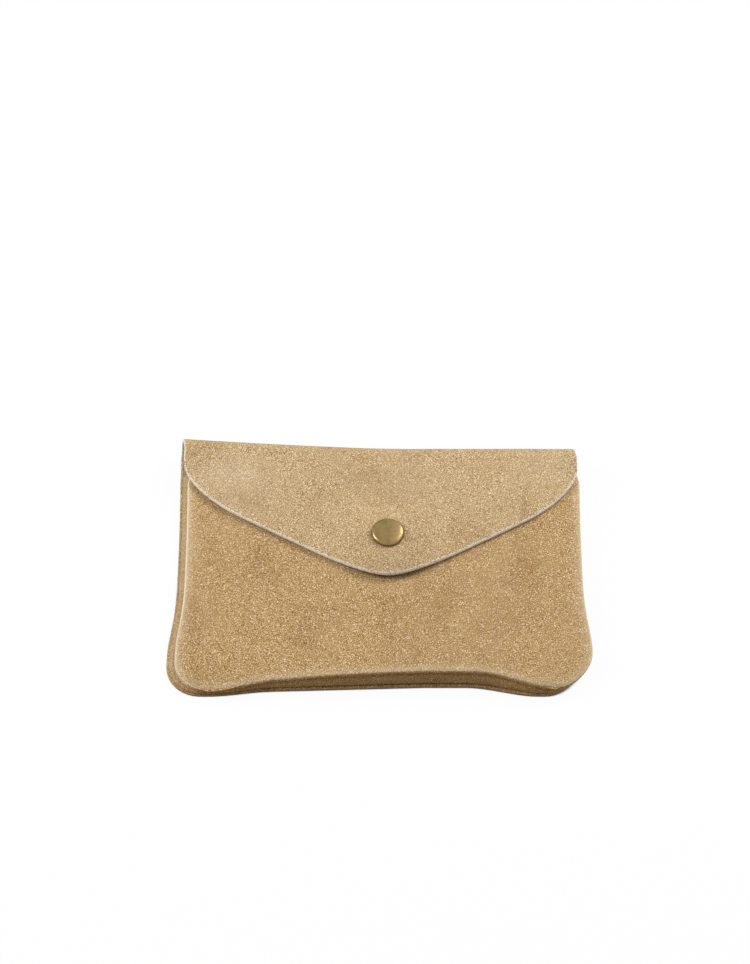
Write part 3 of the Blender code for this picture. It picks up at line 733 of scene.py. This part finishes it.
def make_body():
    columns = 220
    far_rows, fold_rows, back_rows, corner_rows = 54, 22, 64, 14
    turn = corner_turn(corner_rows)
    u = np.linspace(-1, 1, columns)
    rows = [("edge", d) for d in EDGE_ROWS]
    rows += [("flap", (k + 1) / (far_rows + 1)) for k in range(far_rows)]
    rows += [("fold", math.pi * (0.5 - k / fold_rows)) for k in range(fold_rows + 1)]
    rows += [("back", y) for y in np.linspace(FLAP_START, CORNER_Y, back_rows)]
    rows += [("back", CORNER_Y - (CORNER - TURNED_INSET) * math.sin(t)) for t in turn]
    turns = [0.0] * (len(rows) - len(turn)) + turn.tolist()
    row_facing = np.array([row_look(kind, value) for kind, value in rows], float)
    raw_line = raw_outline()

    def width(kind, value):
        """Half the width of a row, and where its middle is."""
        if kind == "back":
            return side(value), BACK_SHIFT
        if kind == "fold":
            share = (math.pi / 2 - value) / math.pi
            middle = np.interp(share, [0, FOLD_MIDDLE_SHARE, 1], [FLAP_MIDDLE, FOLD_MIDDLE, BACK_SHIFT])
            return mix(FLAP_HALF, side(MOUTH_Y) + FOLD_OVERHANG, ease(share)), middle
        return FLAP_HALF, FLAP_MIDDLE

    def place(kind, value, x):
        """The y and z of a row's points, and how far each is inside the raw edge."""
        if kind == "back":
            return np.full_like(x, value), np.zeros_like(x), np.full_like(x, FAR_INSIDE)
        if kind == "fold":
            half, middle = width(kind, value)
            inside = half - np.abs(x - middle)
            radius = fold_radius(x)
            reach = radius - raw_drop(inside)
            return fold_y(x) + reach * math.cos(value), radius + reach * math.sin(value), inside
        edge = flap_edge(x)
        start = np.minimum((FLAP_START - edge) / EDGE_ROOM, 1)
        if kind == "edge":
            y = edge + value * start
        else:
            y = mix(edge + EDGE_ROWS[-1] * start, FLAP_START, value)
        gaps = np.hypot(x[:, None] - raw_line[None, :, 0], y[:, None] - raw_line[None, :, 1])
        inside = gaps.min(axis=1)
        return y, flap_z(x, y) - raw_drop(inside), inside

    spots = []
    for kind, value in rows:
        half, middle = width(kind, value)
        wide = side(value, TURNED_INSET) if kind == "back" else half - TURNED_INSET
        x = middle + u * wide
        spots.append(np.stack([x, *place(kind, value, x)]))
    x, y, z, inside = np.concatenate(spots, axis=1)
    quads, ring = panel(len(rows), columns)
    way = ring_normals(turns, columns)
    ring_rows = [r // columns for r in ring]
    kinds = [rows[r][0] for r in ring_rows]
    thick = SUEDE - raw_drop(inside)
    shade = np.zeros(len(x))
    facing = np.repeat(row_facing, columns, axis=0)
    inner = ring
    sewn = [k for k in range(len(ring)) if kinds[k] == "back" and y[ring[k]] < MOUTH_Y]
    for number, (inset, drop, share) in enumerate(TURNED_EDGE):
        keep = list(range(len(ring))) if number < TURNED_OUT else sewn
        made = np.zeros((4, len(ring)))
        for k in keep:
            kind, value = rows[ring_rows[k]]
            if kind == "back":
                made[0, k] = x[ring[k]] + way[k, 0] * (TURNED_INSET - inset)
                made[1, k] = y[ring[k]] + way[k, 1] * (TURNED_INSET - inset)
                fade = 1 - ease((made[1, k] - MOUTH_Y) / (FLAP_START - MOUTH_Y))
                made[2, k] = drop * curl(made[0, k], made[1, k]) * fade
                made[3, k] = FAR_INSIDE
            else:
                half, middle = width(kind, value)
                made[0, k] = middle + way[k, 0] * (half - inset)
                made[1:, k] = np.array(place(kind, value, made[0, k : k + 1]))[:, 0]
        fresh = {k: len(x) + n for n, k in enumerate(keep)}
        x, y, z = np.append(x, made[0, keep]), np.append(y, made[1, keep]), np.append(z, made[2, keep])
        inside = np.append(inside, made[3, keep])
        facing = np.concatenate([facing, row_facing[[ring_rows[k] for k in keep]]])
        sewn_thick = [SUEDE * share if kinds[k] == "back" else SUEDE for k in keep]
        thick = np.append(thick, sewn_thick - raw_drop(made[3, keep]))
        # Painted shade on the back's down-facing turned edges
        shade = np.append(shade, [max(-way[k, 1], 0.0) if kinds[k] == "back" else 0.0 for k in keep])
        for k in range(len(ring) - 1):
            if k in fresh and k + 1 in fresh:
                quads.append((inner[k], fresh[k], fresh[k + 1], inner[k + 1]))
        inner = fresh
    z = z + np.where(z > FLAP_RIPPLE_Z, FLAP_RIPPLE * ripple(x, y, z, FLAP_RIPPLE_SIZE, seed=9.0), 0)
    low_x, low_y = drawn(x, y, BACK_ARCH, BACK_SHIFT)
    x, y = np.where(z < FLAP_LEAST_Z, low_x, x), np.where(z < FLAP_LEAST_Z, low_y, y)
    quads = [q[::-1] for q in quads]
    upper = ease((z - FLAP_LEAST_Z) / FLAP_FADE_Z)
    raw = 1 - ease((inside - RAW_MARK) / RAW_FADE)
    hidden_x = ease((x - RAW_HIDDEN_X) / RAW_HIDDEN_REACH_X)
    hidden_y = ease((y - RAW_HIDDEN_Y) / RAW_HIDDEN_REACH_Y)
    raw = raw * (1 - RAW_HIDDEN * hidden_x * hidden_y)
    # Lighter spots on the flap's top, and its darker nap spot, which shares the shade mark
    brushed = sum(nap_spot(x, y, spot) for spot in LIGHTER_SPOTS)
    shade = np.maximum(shade, upper * nap_spot(x, y, DARK_SPOT))
    marks = {"raw": raw, "shade": shade, "worn": upper * brushed}
    points = np.stack([x, y, z], 1)
    return sheet("body_suede", points, quads, thick, flap_suede, marks, bulge=0.08, facing=facing)


front = make_front()
fit(front, "front", "tan_suede", "front_panel")
body = make_body()
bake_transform(body)
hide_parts("back_panel", "flap_fold", "flap")


# The gusset runs round the sides and the bottom between the two panels
SIDE_STEPS, CORNER_STEPS, BOTTOM_STEPS = 100, 16, 60


def outline(shift, height, inset=0.0, rise=0.0):
    """The outline as x, y and the way it faces, from the mouth's left end round to its right end."""
    spots = []
    for y in np.linspace(MOUTH_Y + rise, CORNER_Y, SIDE_STEPS, endpoint=False):
        spots.append((inset - side(y), y, -1.0, 0.0))
    wide = side(CORNER_Y) - CORNER
    for turn in np.linspace(0, np.pi / 2, CORNER_STEPS, endpoint=False):
        across, down = math.cos(turn), math.sin(turn)
        reach = CORNER - inset
        spots.append((-wide - reach * across, CORNER_Y - reach * down, -across, -down))
    for x in np.linspace(-wide, 0, BOTTOM_STEPS, endpoint=False):
        spots.append((x, BOTTOM_Y + inset, 0.0, -1.0))
    half = [*spots, (0.0, BOTTOM_Y + inset, 0.0, -1.0)]
    spots += [(-x, y, -nx, ny) for x, y, nx, ny in reversed(half)]
    line = np.array(spots)
    line[:, 0] += shift
    bent = line.copy()
    x = tuck(line[:, 0], line[:, 1]) if shift == FRONT_SHIFT else line[:, 0]
    bent[:, 0], bent[:, 1] = drawn(x, line[:, 1], height, shift)
    return line, bent


GUSSET_LAYER = GUSSET_SUEDE * 0.4
GUSSET_GAP = 0.05
GUSSET_RISE = 0.8
GUSSET_RISE_INSET, GUSSET_RISE_REACH = 0.5, 1.5
# The gusset's left-facing side is painted lighter, where the light falls on it
GUSSET_PAINTED_LIGHT = 0.12
# The closed gusset's grain lies gathered, as it opens to three times its height
GUSSET_GATHER = 1.7
# The strip from the back's seam to the front's, as (inset, share of the height)
GUSSET_PROFILE = [(3.0, 0.0), (1.6, 0.01), (1.0, 0.05), (0.6, 0.12), (0.3, 0.25), (0.16, 0.4), (0.12, 0.55)]
GUSSET_PROFILE += [(0.16, 0.68), (0.35, 0.79), (0.7, 0.88), (1.1, 0.95), (1.6, 0.99), (3.0, 1.0)]


def seam_heights():
    """Heights of the gusset's lower and upper seam allowances along the outline."""
    flat, _ = outline(FRONT_SHIFT, FRONT_ARCH)
    seam = TURNED_EDGE[-1][1] * curl(flat[:, 0], flat[:, 1]) + GUSSET_GAP
    return seam, front_z(flat[:, 0], flat[:, 1]) - seam


def make_gusset():
    low, high = seam_heights()
    points = []
    shade = []
    for inset, share in GUSSET_PROFILE:
        rise = GUSSET_RISE * (1 - share) * (1 - ease((inset - GUSSET_RISE_INSET) / GUSSET_RISE_REACH))
        back = outline(BACK_SHIFT, BACK_ARCH, 0.0, rise)[1]
        fore = outline(FRONT_SHIFT, FRONT_ARCH, 0.0, rise)[1]
        line = mix(back, fore, share)
        spots = [line[:, 0] - line[:, 2] * inset, line[:, 1] - line[:, 3] * inset, mix(low, high, share)]
        points.append(np.stack(spots, 1))
        # Painted shade on the gusset's down-facing bottom
        shade.append(np.clip(-line[:, 3], 0, 1))
    count = len(low)
    quads = []
    for k in range(len(GUSSET_PROFILE) - 1):
        strip(quads, list(range((k + 1) * count, (k + 2) * count)), list(range(k * count, (k + 1) * count)))
    shade = np.concatenate(shade)
    # Painted light on the gusset's left-facing side
    left = np.tile(ease(-fore[:, 2]), len(GUSSET_PROFILE))
    marks = {"shade": shade, "worn": GUSSET_PAINTED_LIGHT * left}
    made = sheet("gusset_suede", np.concatenate(points), quads, GUSSET_LAYER, body_suede, marks, bulge=0.05)
    for spot in made.data.attributes["nap"].data:
        spot.vector[2] *= GUSSET_GATHER
    return made


gusset = make_gusset()
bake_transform(gusset)
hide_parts("gusset_back_half", "gusset_front_half")

STITCH_INSET = 2.2
STITCH_PITCH = 3.1
STITCH_LENGTH = 2.5
STITCH_END = 2.0
STITCH_SIDES = 8
# Along a stitch, as (share of its length, share of the thread's radius, dip into the suede)
STITCH_STATIONS = [(0.0, 0.5, 0.3), (0.12, 0.85, 0.1), (0.5, 1.0, 0.0), (0.88, 0.85, 0.1), (1.0, 0.5, 0.3)]


def make_stitches(name, shift, height, heights, up):
    """A row of stitches on a seam allowance, each end drawn down into it."""
    _, line = outline(shift, height, STITCH_INSET)
    path = np.stack([line[:, 0], line[:, 1], heights + up * (GUSSET_LAYER + THREAD_RADIUS / 2)], 1)
    steps = np.linalg.norm(np.diff(path, axis=0), axis=1)
    length = np.concatenate([[0], np.cumsum(steps)])
    points, faces = [], []
    for start in np.arange(STITCH_END, length[-1] - STITCH_LENGTH - STITCH_END, STITCH_PITCH):
        spots = []
        for share, _, dip in STITCH_STATIONS:
            at = start + share * STITCH_LENGTH
            spot = [np.interp(at, length, path[:, axis]) for axis in range(3)]
            spots.append((spot[0], spot[1], spot[2] - up * dip))
        more, rings = rings_of(spots, [THREAD_RADIUS * size for _, size, _ in STITCH_STATIONS], STITCH_SIDES)
        faces += [[k + len(points) for k in ring] for ring in rings]
        points += more
    return mesh_of(name, points, faces, thread)


low_seam, high_seam = seam_heights()
back_stitches = make_stitches("back_stitches", BACK_SHIFT, BACK_ARCH, low_seam, 1)
fit(back_stitches, "back", "sewing_thread", "back_seam_thread")
front_stitches = make_stitches("front_stitches", FRONT_SHIFT, FRONT_ARCH, high_seam, -1)
fit(front_stitches, "front", "sewing_thread", "front_seam_thread")


# The snap: profiles are (radius, height), the cap's underside and the stud's flange are (inset, height), and
# the stud's head is (radius, depth below its top)
CAP_HEIGHT = 2.0
CAP_DOME = [(0, 2.1), (1.5, 2.085), (2.8, 2.04), (3.8, 1.965), (4.6, 1.875)]
CAP_RIM, CAP_RIM_TOP = 1.3, 1.8
CAP_RIM_TURN, CAP_RIM_STEPS = math.radians(78), 12
CAP_HOLLOW = 0.5
CAP_UNDERSIDE = [(0.02, 0.35), (0.15, 0.05), (0.5, 0.0), (0.6, CAP_HOLLOW)]
CAP_SHANK = 1.5
SOCKET_BORE, SOCKET_HOLE = 2.85, 1.8
SOCKET_WALL, SOCKET_CHAMFER = 0.5, 0.25
SOCKET_GROOVE = [(SOCKET_BORE, 0.3), (3.22, 0.3), (3.22, 1.14), (SOCKET_BORE, 1.14)]
SPRING_START, SPRING_END, SPRING_STEPS = 40, 320, 60
STUD_HEAD = [(0, -0.05), (1.0, 0), (1.7, 0.1), (2.4, 0.5), (2.4, 0.75), (1.7, 1.05)]
STUD_NECK, STUD_FOOT = 1.7, 0.5
STUD_FLANGE = [(0.4, 0.4), (0, 0.2), (0, 0)]
EYELET_POST, EYELET_DISC = 1.0, 0.4
EYELET_DIMPLE = [(1.6, 0.0), (1.1, 0.25), (0, 0.25)]


def cap_profile(shank):
    profile = list(CAP_DOME)
    for step in range(CAP_RIM_STEPS + 1):
        turn = CAP_RIM_TURN * (1 - step / CAP_RIM_STEPS)
        across, up = 1 - math.cos(turn), 1 - math.sin(turn)
        profile.append((CAP_RADIUS - CAP_RIM * across, CAP_RIM_TOP - CAP_RIM * up))
    profile += [(CAP_RADIUS - inset, height) for inset, height in CAP_UNDERSIDE]
    return profile + [(CAP_SHANK, CAP_HOLLOW), (CAP_SHANK, -shank), (0, -shank)]


def make_snap():
    low, high = box("snap_cap")
    seat = high.z - CAP_HEIGHT
    cap = turned("cap_brass", cap_profile(seat - low.z), (TIP_X, SNAP_Y, seat), brass, steps=96)
    fit(cap, "flap", "aged_brass", "snap_cap")
    low, high = box("snap_socket")
    tall, wide = high.z - low.z, high.x - TIP_X
    ring = [(SOCKET_BORE, 0), *SOCKET_GROOVE, (SOCKET_BORE, tall - SOCKET_WALL)]
    ring += [(SOCKET_HOLE, tall - SOCKET_WALL), (SOCKET_HOLE, tall), (wide - SOCKET_WALL, tall)]
    ring += [(wide, tall - SOCKET_WALL), (wide, SOCKET_CHAMFER), (wide - SOCKET_CHAMFER, 0)]
    ring = rounded(ring, radius=0.18, loop=True)
    socket = turned("socket_brass", ring, (TIP_X, SNAP_Y, low.z), brass)
    fit(socket, "flap", "aged_brass", "snap_socket")
    low, high = box("snap_spring")
    radius = (high.z - low.z) / 2
    reach = TIP_X - low.x - radius
    turns = np.radians(np.linspace(SPRING_START, SPRING_END, SPRING_STEPS))
    path = [(TIP_X + reach * math.cos(t), SNAP_Y + reach * math.sin(t), low.z + radius) for t in turns]
    spring = mesh_of("spring_wire", *rings_of(path, [radius] * len(path), sides=10), steel)
    fit(spring, "flap", "spring_steel", "snap_spring")
    low, high = box("snap_stud")
    tall, wide = high.z - low.z, high.x - TIP_X
    knob = [(radius, tall - depth) for radius, depth in STUD_HEAD]
    flange = [(wide - inset, height) for inset, height in STUD_FLANGE]
    knob += [(STUD_NECK, STUD_FOOT), *flange, (0, 0)]
    stud = turned("stud_brass", rounded(knob, radius=0.2), (TIP_X, SNAP_Y, low.z), brass)
    fit(stud, "front", "aged_brass", "snap_stud")
    low, high = box("snap_eyelet")
    tall, wide = high.z - low.z, high.x - TIP_X
    disc = [(0, tall), (EYELET_POST, tall), (EYELET_POST, EYELET_DISC), (wide, EYELET_DISC), (wide, 0.0)]
    disc += EYELET_DIMPLE
    eyelet = turned("eyelet_brass", rounded(disc, radius=0.15), (TIP_X, SNAP_Y, low.z), brass)
    fit(eyelet, "front", "aged_brass", "snap_eyelet")


make_snap()


# The zipped pocket inside
POCKET_RIPPLE, POCKET_RIPPLE_SIZE = 0.1, 16.0
TAPE_RIPPLE, TAPE_RIPPLE_SIZE = 0.06, 14.0
RAMP_CLEARANCE = 0.3
STOP_ROUNDING = 0.25
SLIDER_ROUNDING = 0.14


def make_pocket(name, rows, top_y):
    """A wall of the pocket; rows are (y, height) knots of its face from the top down."""
    columns = 120
    x, y, turns = panel_grid(top_y, POCKET_INSET, BACK_SHIFT, columns, side_rows=70, corner_rows=10)
    knots = sorted(rows)
    z = np.interp(y, [knot[0] for knot in knots], [knot[1] for knot in knots])
    z = z + POCKET_RIPPLE * ripple(x, y, np.zeros_like(x), POCKET_RIPPLE_SIZE, seed=3.0)
    quads, _ = panel(len(turns), columns)
    points = np.stack([*drawn(x, y, BACK_ARCH, BACK_SHIFT), z], 1)
    return sheet(name, points, quads, LINING, lining, bulge=0.03)


def make_tape(name, node_name):
    low, high = box(node_name)
    columns, rows = 160, 12
    x = np.tile(np.linspace(low.x, high.x, columns), rows)
    y = np.repeat(np.linspace(high.y, low.y, rows), columns)
    z = high.z + TAPE_RIPPLE * ripple(x, y, np.zeros_like(x), TAPE_RIPPLE_SIZE, seed=6.0)
    quads, _ = panel(rows, columns)
    tape = sheet(name, np.stack([x, y, z], 1), quads, high.z - low.z, tape_cloth, bulge=0.04)
    fit(tape, "back", "zip_tape_cloth", node_name)
    return low, high


# A tooth's outline from its clamp to its head, as (length, half width), and its height, as (height, size)
TOOTH_OUTLINE = [(0.0, 0.38), (0.9, 0.4), (1.3, 0.36), (1.6, 0.28), (1.95, 0.4), (2.35, 0.38), (2.6, 0.24)]
TOOTH_RINGS = [(-1.0, 0.8), (-0.78, 1.0), (0.78, 1.0), (1.0, 0.8)]
TOOTH_TAPER = 0.15
TOOTH_HARD_EDGE = math.radians(35)
CORD_INSET = 0.5
CORD_BEFORE, CORD_BEYOND, CORD_STEPS = 2.5, 2.0, 150
CORD_RADIUS, CORD_TWIST, CORD_TWIST_STEP = 0.42, 0.03, 2.1


def make_teeth(name, cord_name, node_name, inward, offset):
    """One row of metal teeth, clamped on the cord along the tape's edge."""
    low, high = box(node_name)
    outer = low.y if inward > 0 else high.y
    middle_z = (low.z + high.z) / 2
    half = (high.z - low.z) / 2
    loop = TOOTH_OUTLINE + [(along, -wide) for along, wide in reversed(TOOTH_OUTLINE)]
    centre = TOOTH_OUTLINE[-1][0] / 2
    first = low.x + TOOTH_WIDTH + offset
    count = int((high.x - TOOTH_WIDTH - first) / TOOTH_PITCH)
    points, faces = [], []
    for tooth in range(count + 1):
        start = len(points)
        for height, size in TOOTH_RINGS:
            for along, wide in loop:
                y = outer + inward * (centre + (along - centre) * (1 - TOOTH_TAPER + TOOTH_TAPER * size))
                points.append((first + tooth * TOOTH_PITCH + wide * size, y, middle_z + height * half))
        around = len(loop)
        last = len(points) - around
        faces.append([start + k for k in range(around)][::-inward])
        for base in range(start, last, around):
            for k in range(around):
                after = (k + 1) % around
                faces.append([base + k, base + after, base + around + after, base + around + k][::inward])
        faces.append([last + k for k in range(around)][::inward])
    teeth = mesh_of(name, points, faces, brass)
    teeth.data.set_sharp_from_angle(angle=TOOTH_HARD_EDGE)
    fit(teeth, "back", "aged_brass", node_name)
    cord_x = np.linspace(low.x - CORD_BEFORE, high.x + CORD_BEYOND, CORD_STEPS)
    path = [(x, outer + inward * CORD_INSET, middle_z) for x in cord_x]
    radii = [CORD_RADIUS + CORD_TWIST * math.sin(CORD_TWIST_STEP * x) for x in cord_x]
    cord = mesh_of(cord_name, *rings_of(path, radii, sides=10), tape_cloth)
    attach(cord, "back")


# The pull's places across, as shares of its half width; its slit lies within the fourth of them
TAB_ACROSS = [1, 0.84, 0.64, 0.48, 0.24, 0, -0.24, -0.48, -0.64, -0.84, -1]
TAB_SLIT_START, TAB_SLIT_END = 1.2, 3.8
TAB_NARROWING = 0.7
TAB_DROOP, TAB_DROOP_START, TAB_DROOP_REACH = 1.0, 1.5, 15
TAB_CROWN = 0.12
TAB_SLACK = 0.01


def make_pull():
    """The suede pull: its slit is round the slider's bail, and its free end droops."""
    low, high = box("zip_pull")
    slit = (low.x + TAB_SLIT_START, low.x + TAB_SLIT_END)
    before = np.linspace(low.x, slit[0], 4)
    beside = np.linspace(*slit, 6)[1:]
    beyond = np.linspace(slit[1], high.x, 30)[1:]
    along = np.concatenate([before, beside, beyond])
    middle = (low.y + high.y) / 2
    half = (high.y - low.y) / 2
    across = np.array(TAB_ACROSS) * half
    end = np.clip((along - high.x + half) / half, 0, 1)
    narrow = np.sqrt(1 - TAB_NARROWING * end**2)
    x = np.tile(along, len(across))
    y = (middle + across[:, None] * narrow[None, :]).ravel()
    droop = TAB_DROOP * ease((x - slit[1] - TAB_DROOP_START) / TAB_DROOP_REACH)
    z = high.z - droop - TAB_CROWN * ((y - middle) / half) ** 2
    quads, _ = panel(len(across), len(along))
    slit_half = TAB_ACROSS[3] * half + TAB_SLACK
    shown = []
    for quad in quads:
        mid_x = np.mean([x[k] for k in quad])
        mid_y = np.mean([y[k] for k in quad]) - middle
        if not (slit[0] < mid_x < slit[1] and abs(mid_y) < slit_half):
            shown.append(quad)
    used = sorted({k for quad in shown for k in quad})
    fresh = {k: n for n, k in enumerate(used)}
    quads = [tuple(fresh[k] for k in quad) for quad in shown]
    points = np.stack([x, y, z], 1)[used]
    pull = sheet("pull_suede", points, quads, high.z - low.z, body_suede, bulge=0.08)
    fit(pull, "slider", "tan_suede", "zip_pull")


_, upper_high = make_tape("zip_tape_upper_cloth", "zip_tape_upper")
lower_low, _ = make_tape("zip_tape_lower_cloth", "zip_tape_lower")
_, slider_high = box("zip_slider")
back_wall_low, back_wall_high = box("pocket_back_wall")
wall_low, wall_high = box("pocket_front_wall")
back_flat = back_wall_low.z + LINING
ramp_start = slider_high.y + RAMP_CLEARANCE
ramp_middle = (ramp_start + upper_high.y) / 2
back_rows = [(upper_high.y, back_wall_high.z), (ramp_middle, back_wall_high.z), (ramp_start, back_flat)]
back_wall = make_pocket("pocket_back_lining", back_rows, upper_high.y)
fit(back_wall, "back", "lining_cloth", "pocket_back_wall")
front_flat = wall_low.z + LINING
front_rows = [(wall_high.y, wall_high.z), (lower_low.y - RAMP_CLEARANCE, wall_high.z)]
front_rows.append((lower_low.y - POCKET_RAMP, front_flat))
front_wall = make_pocket("pocket_front_lining", front_rows, wall_high.y)
fit(front_wall, "back", "lining_cloth", "pocket_front_wall")
make_teeth("upper_teeth", "upper_zip_cord", "zip_teeth_upper", -1, TOOTH_PITCH / 2)
make_teeth("lower_teeth", "lower_zip_cord", "zip_teeth_lower", 1, 0.0)
for stop in ("zip_bottom_stop", "zip_top_stop_upper", "zip_top_stop_lower"):
    fit(softened(stop + "_brass", stop, STOP_ROUNDING, brass), "back", "aged_brass", stop)
slider = softened("zip_slider_brass", "zip_slider", SLIDER_ROUNDING, brass)
fit(slider, "slider", "aged_brass", "zip_slider")
make_pull()


# Floor, light and camera, in metres. The floor's seen colour carries a painted contact shadow where
# something stands close over it
WHITE = (1, 1, 1)
FLOOR_HALF = 3
FLOOR_Z = -0.0001
FLOOR_GREY = (0.45, 0.45, 0.45)
FLOOR_SEEN = (0.95, 0.95, 0.95)
FLOOR_GLOW = 0.95
CONTACT_REACH = 0.003
PAINTED_CONTACT_SHADOW = (0.03, 0.03, 0.045)
CONTACT_START, CONTACT_END = 0.36, 0.54
SKY_LIGHT = 0.24
# One lamp behind at the right, one at the left and a weak one at the right, as (name, place, watts)
LAMPS = [
    ("overhead", (0.62, 0.6, 0.85), 8.0),
    ("left", (-0.95, 0.1, 0.7), 8.4),
    ("right", (0.9, 0.0, 0.75), 2.2),
]
LAMP_TARGET = (0, 0, 0)
LAMP_SIZE = 0.6
CAMERA_TARGET = (0, -0.00165, 0.008)
CAMERA_ELEVATION = math.radians(54)
CAMERA_DISTANCE = 0.95
CAMERA_LENS, CAMERA_SENSOR = 94.5, 36
# The camera's shift, in the photograph's pixels
PHOTO_HEIGHT = 964
PHOTO_SHIFT_X, PHOTO_SHIFT_Y = -4, 84


def seen_ray(tree):
    """1 for a ray that shows the backdrop: from the camera, or in metal or glass."""
    path = node(tree, "LightPath").outputs
    seen = maths(tree, "MAXIMUM", path["Is Camera Ray"], path["Is Glossy Ray"])
    return maths(tree, "MAXIMUM", seen, path["Is Transmission Ray"])


def make_floor():
    mesh = bpy.data.meshes.new("floor")
    plane = bmesh.new()
    bmesh.ops.create_grid(plane, x_segments=1, y_segments=1, size=FLOOR_HALF)
    bmesh.ops.translate(plane, vec=(0, 0, FLOOR_Z), verts=plane.verts)
    plane.to_mesh(mesh)
    plane.free()
    made, tree, principled = shader("white_floor")
    # Painted contact shadow: the glowing floor is darkened by occlusion near the object
    near = node(tree, "AmbientOcclusion", {"Distance": CONTACT_REACH}, samples=16).outputs["AO"]
    contact_shadow_paint = ramp(tree, near, [(CONTACT_START, PAINTED_CONTACT_SHADOW), (CONTACT_END, WHITE)])
    glow = node(tree, "Emission", {"Color": contact_shadow_paint, "Strength": 1.0})
    seen = seen_ray(tree)
    paint = blend_colour(tree, seen, FLOOR_GREY, FLOOR_SEEN)
    feed(tree, principled, {"Base Color": paint, "Roughness": 1.0, "Specular IOR Level": 0.0})
    share = maths(tree, "MULTIPLY", seen, FLOOR_GLOW)
    blend = node(tree, "MixShader", {0: share, 1: principled.outputs[0], 2: glow.outputs[0]})
    tree.links.new(blend.outputs[0], tree.nodes["Material Output"].inputs["Surface"])
    floor = collection_add("floor", mesh, made)


def make_world():
    world = bpy.data.worlds.new("studio")
    world.use_nodes = True
    tree = world.node_tree
    strength = spread(tree, seen_ray(tree), 0.0, 1.0, SKY_LIGHT, 1.0)
    feed(tree, tree.nodes["Background"], {"Color": (*WHITE, 1), "Strength": strength})
    bpy.context.scene.world = world


def aimed(name, data, place, way):
    made = bpy.data.objects.new(name, data)
    made.location = place
    made.rotation_euler = way.to_track_quat("-Z", "Y").to_euler()
    bpy.context.scene.collection.objects.link(made)
    return made


def lamp(name, place, power):
    data = bpy.data.lights.new(name, "AREA")
    data.shape = "DISK"
    data.size = LAMP_SIZE
    data.energy = power
    aimed(name, data, place, Vector(LAMP_TARGET) - Vector(place))


def make_camera():
    away = Vector((0, -math.cos(CAMERA_ELEVATION), math.sin(CAMERA_ELEVATION))) * CAMERA_DISTANCE
    data = bpy.data.cameras.new("camera")
    data.sensor_width = CAMERA_SENSOR
    data.lens = CAMERA_LENS
    data.shift_x = PHOTO_SHIFT_X / PHOTO_HEIGHT
    data.shift_y = PHOTO_SHIFT_Y / PHOTO_HEIGHT
    bpy.context.scene.camera = aimed("camera", data, Vector(CAMERA_TARGET) + away, -away)


make_floor()
make_world()
for name, place, power in LAMPS:
    lamp(name, place, power)
make_camera()

bpy.context.scene.view_settings.view_transform = "Standard"
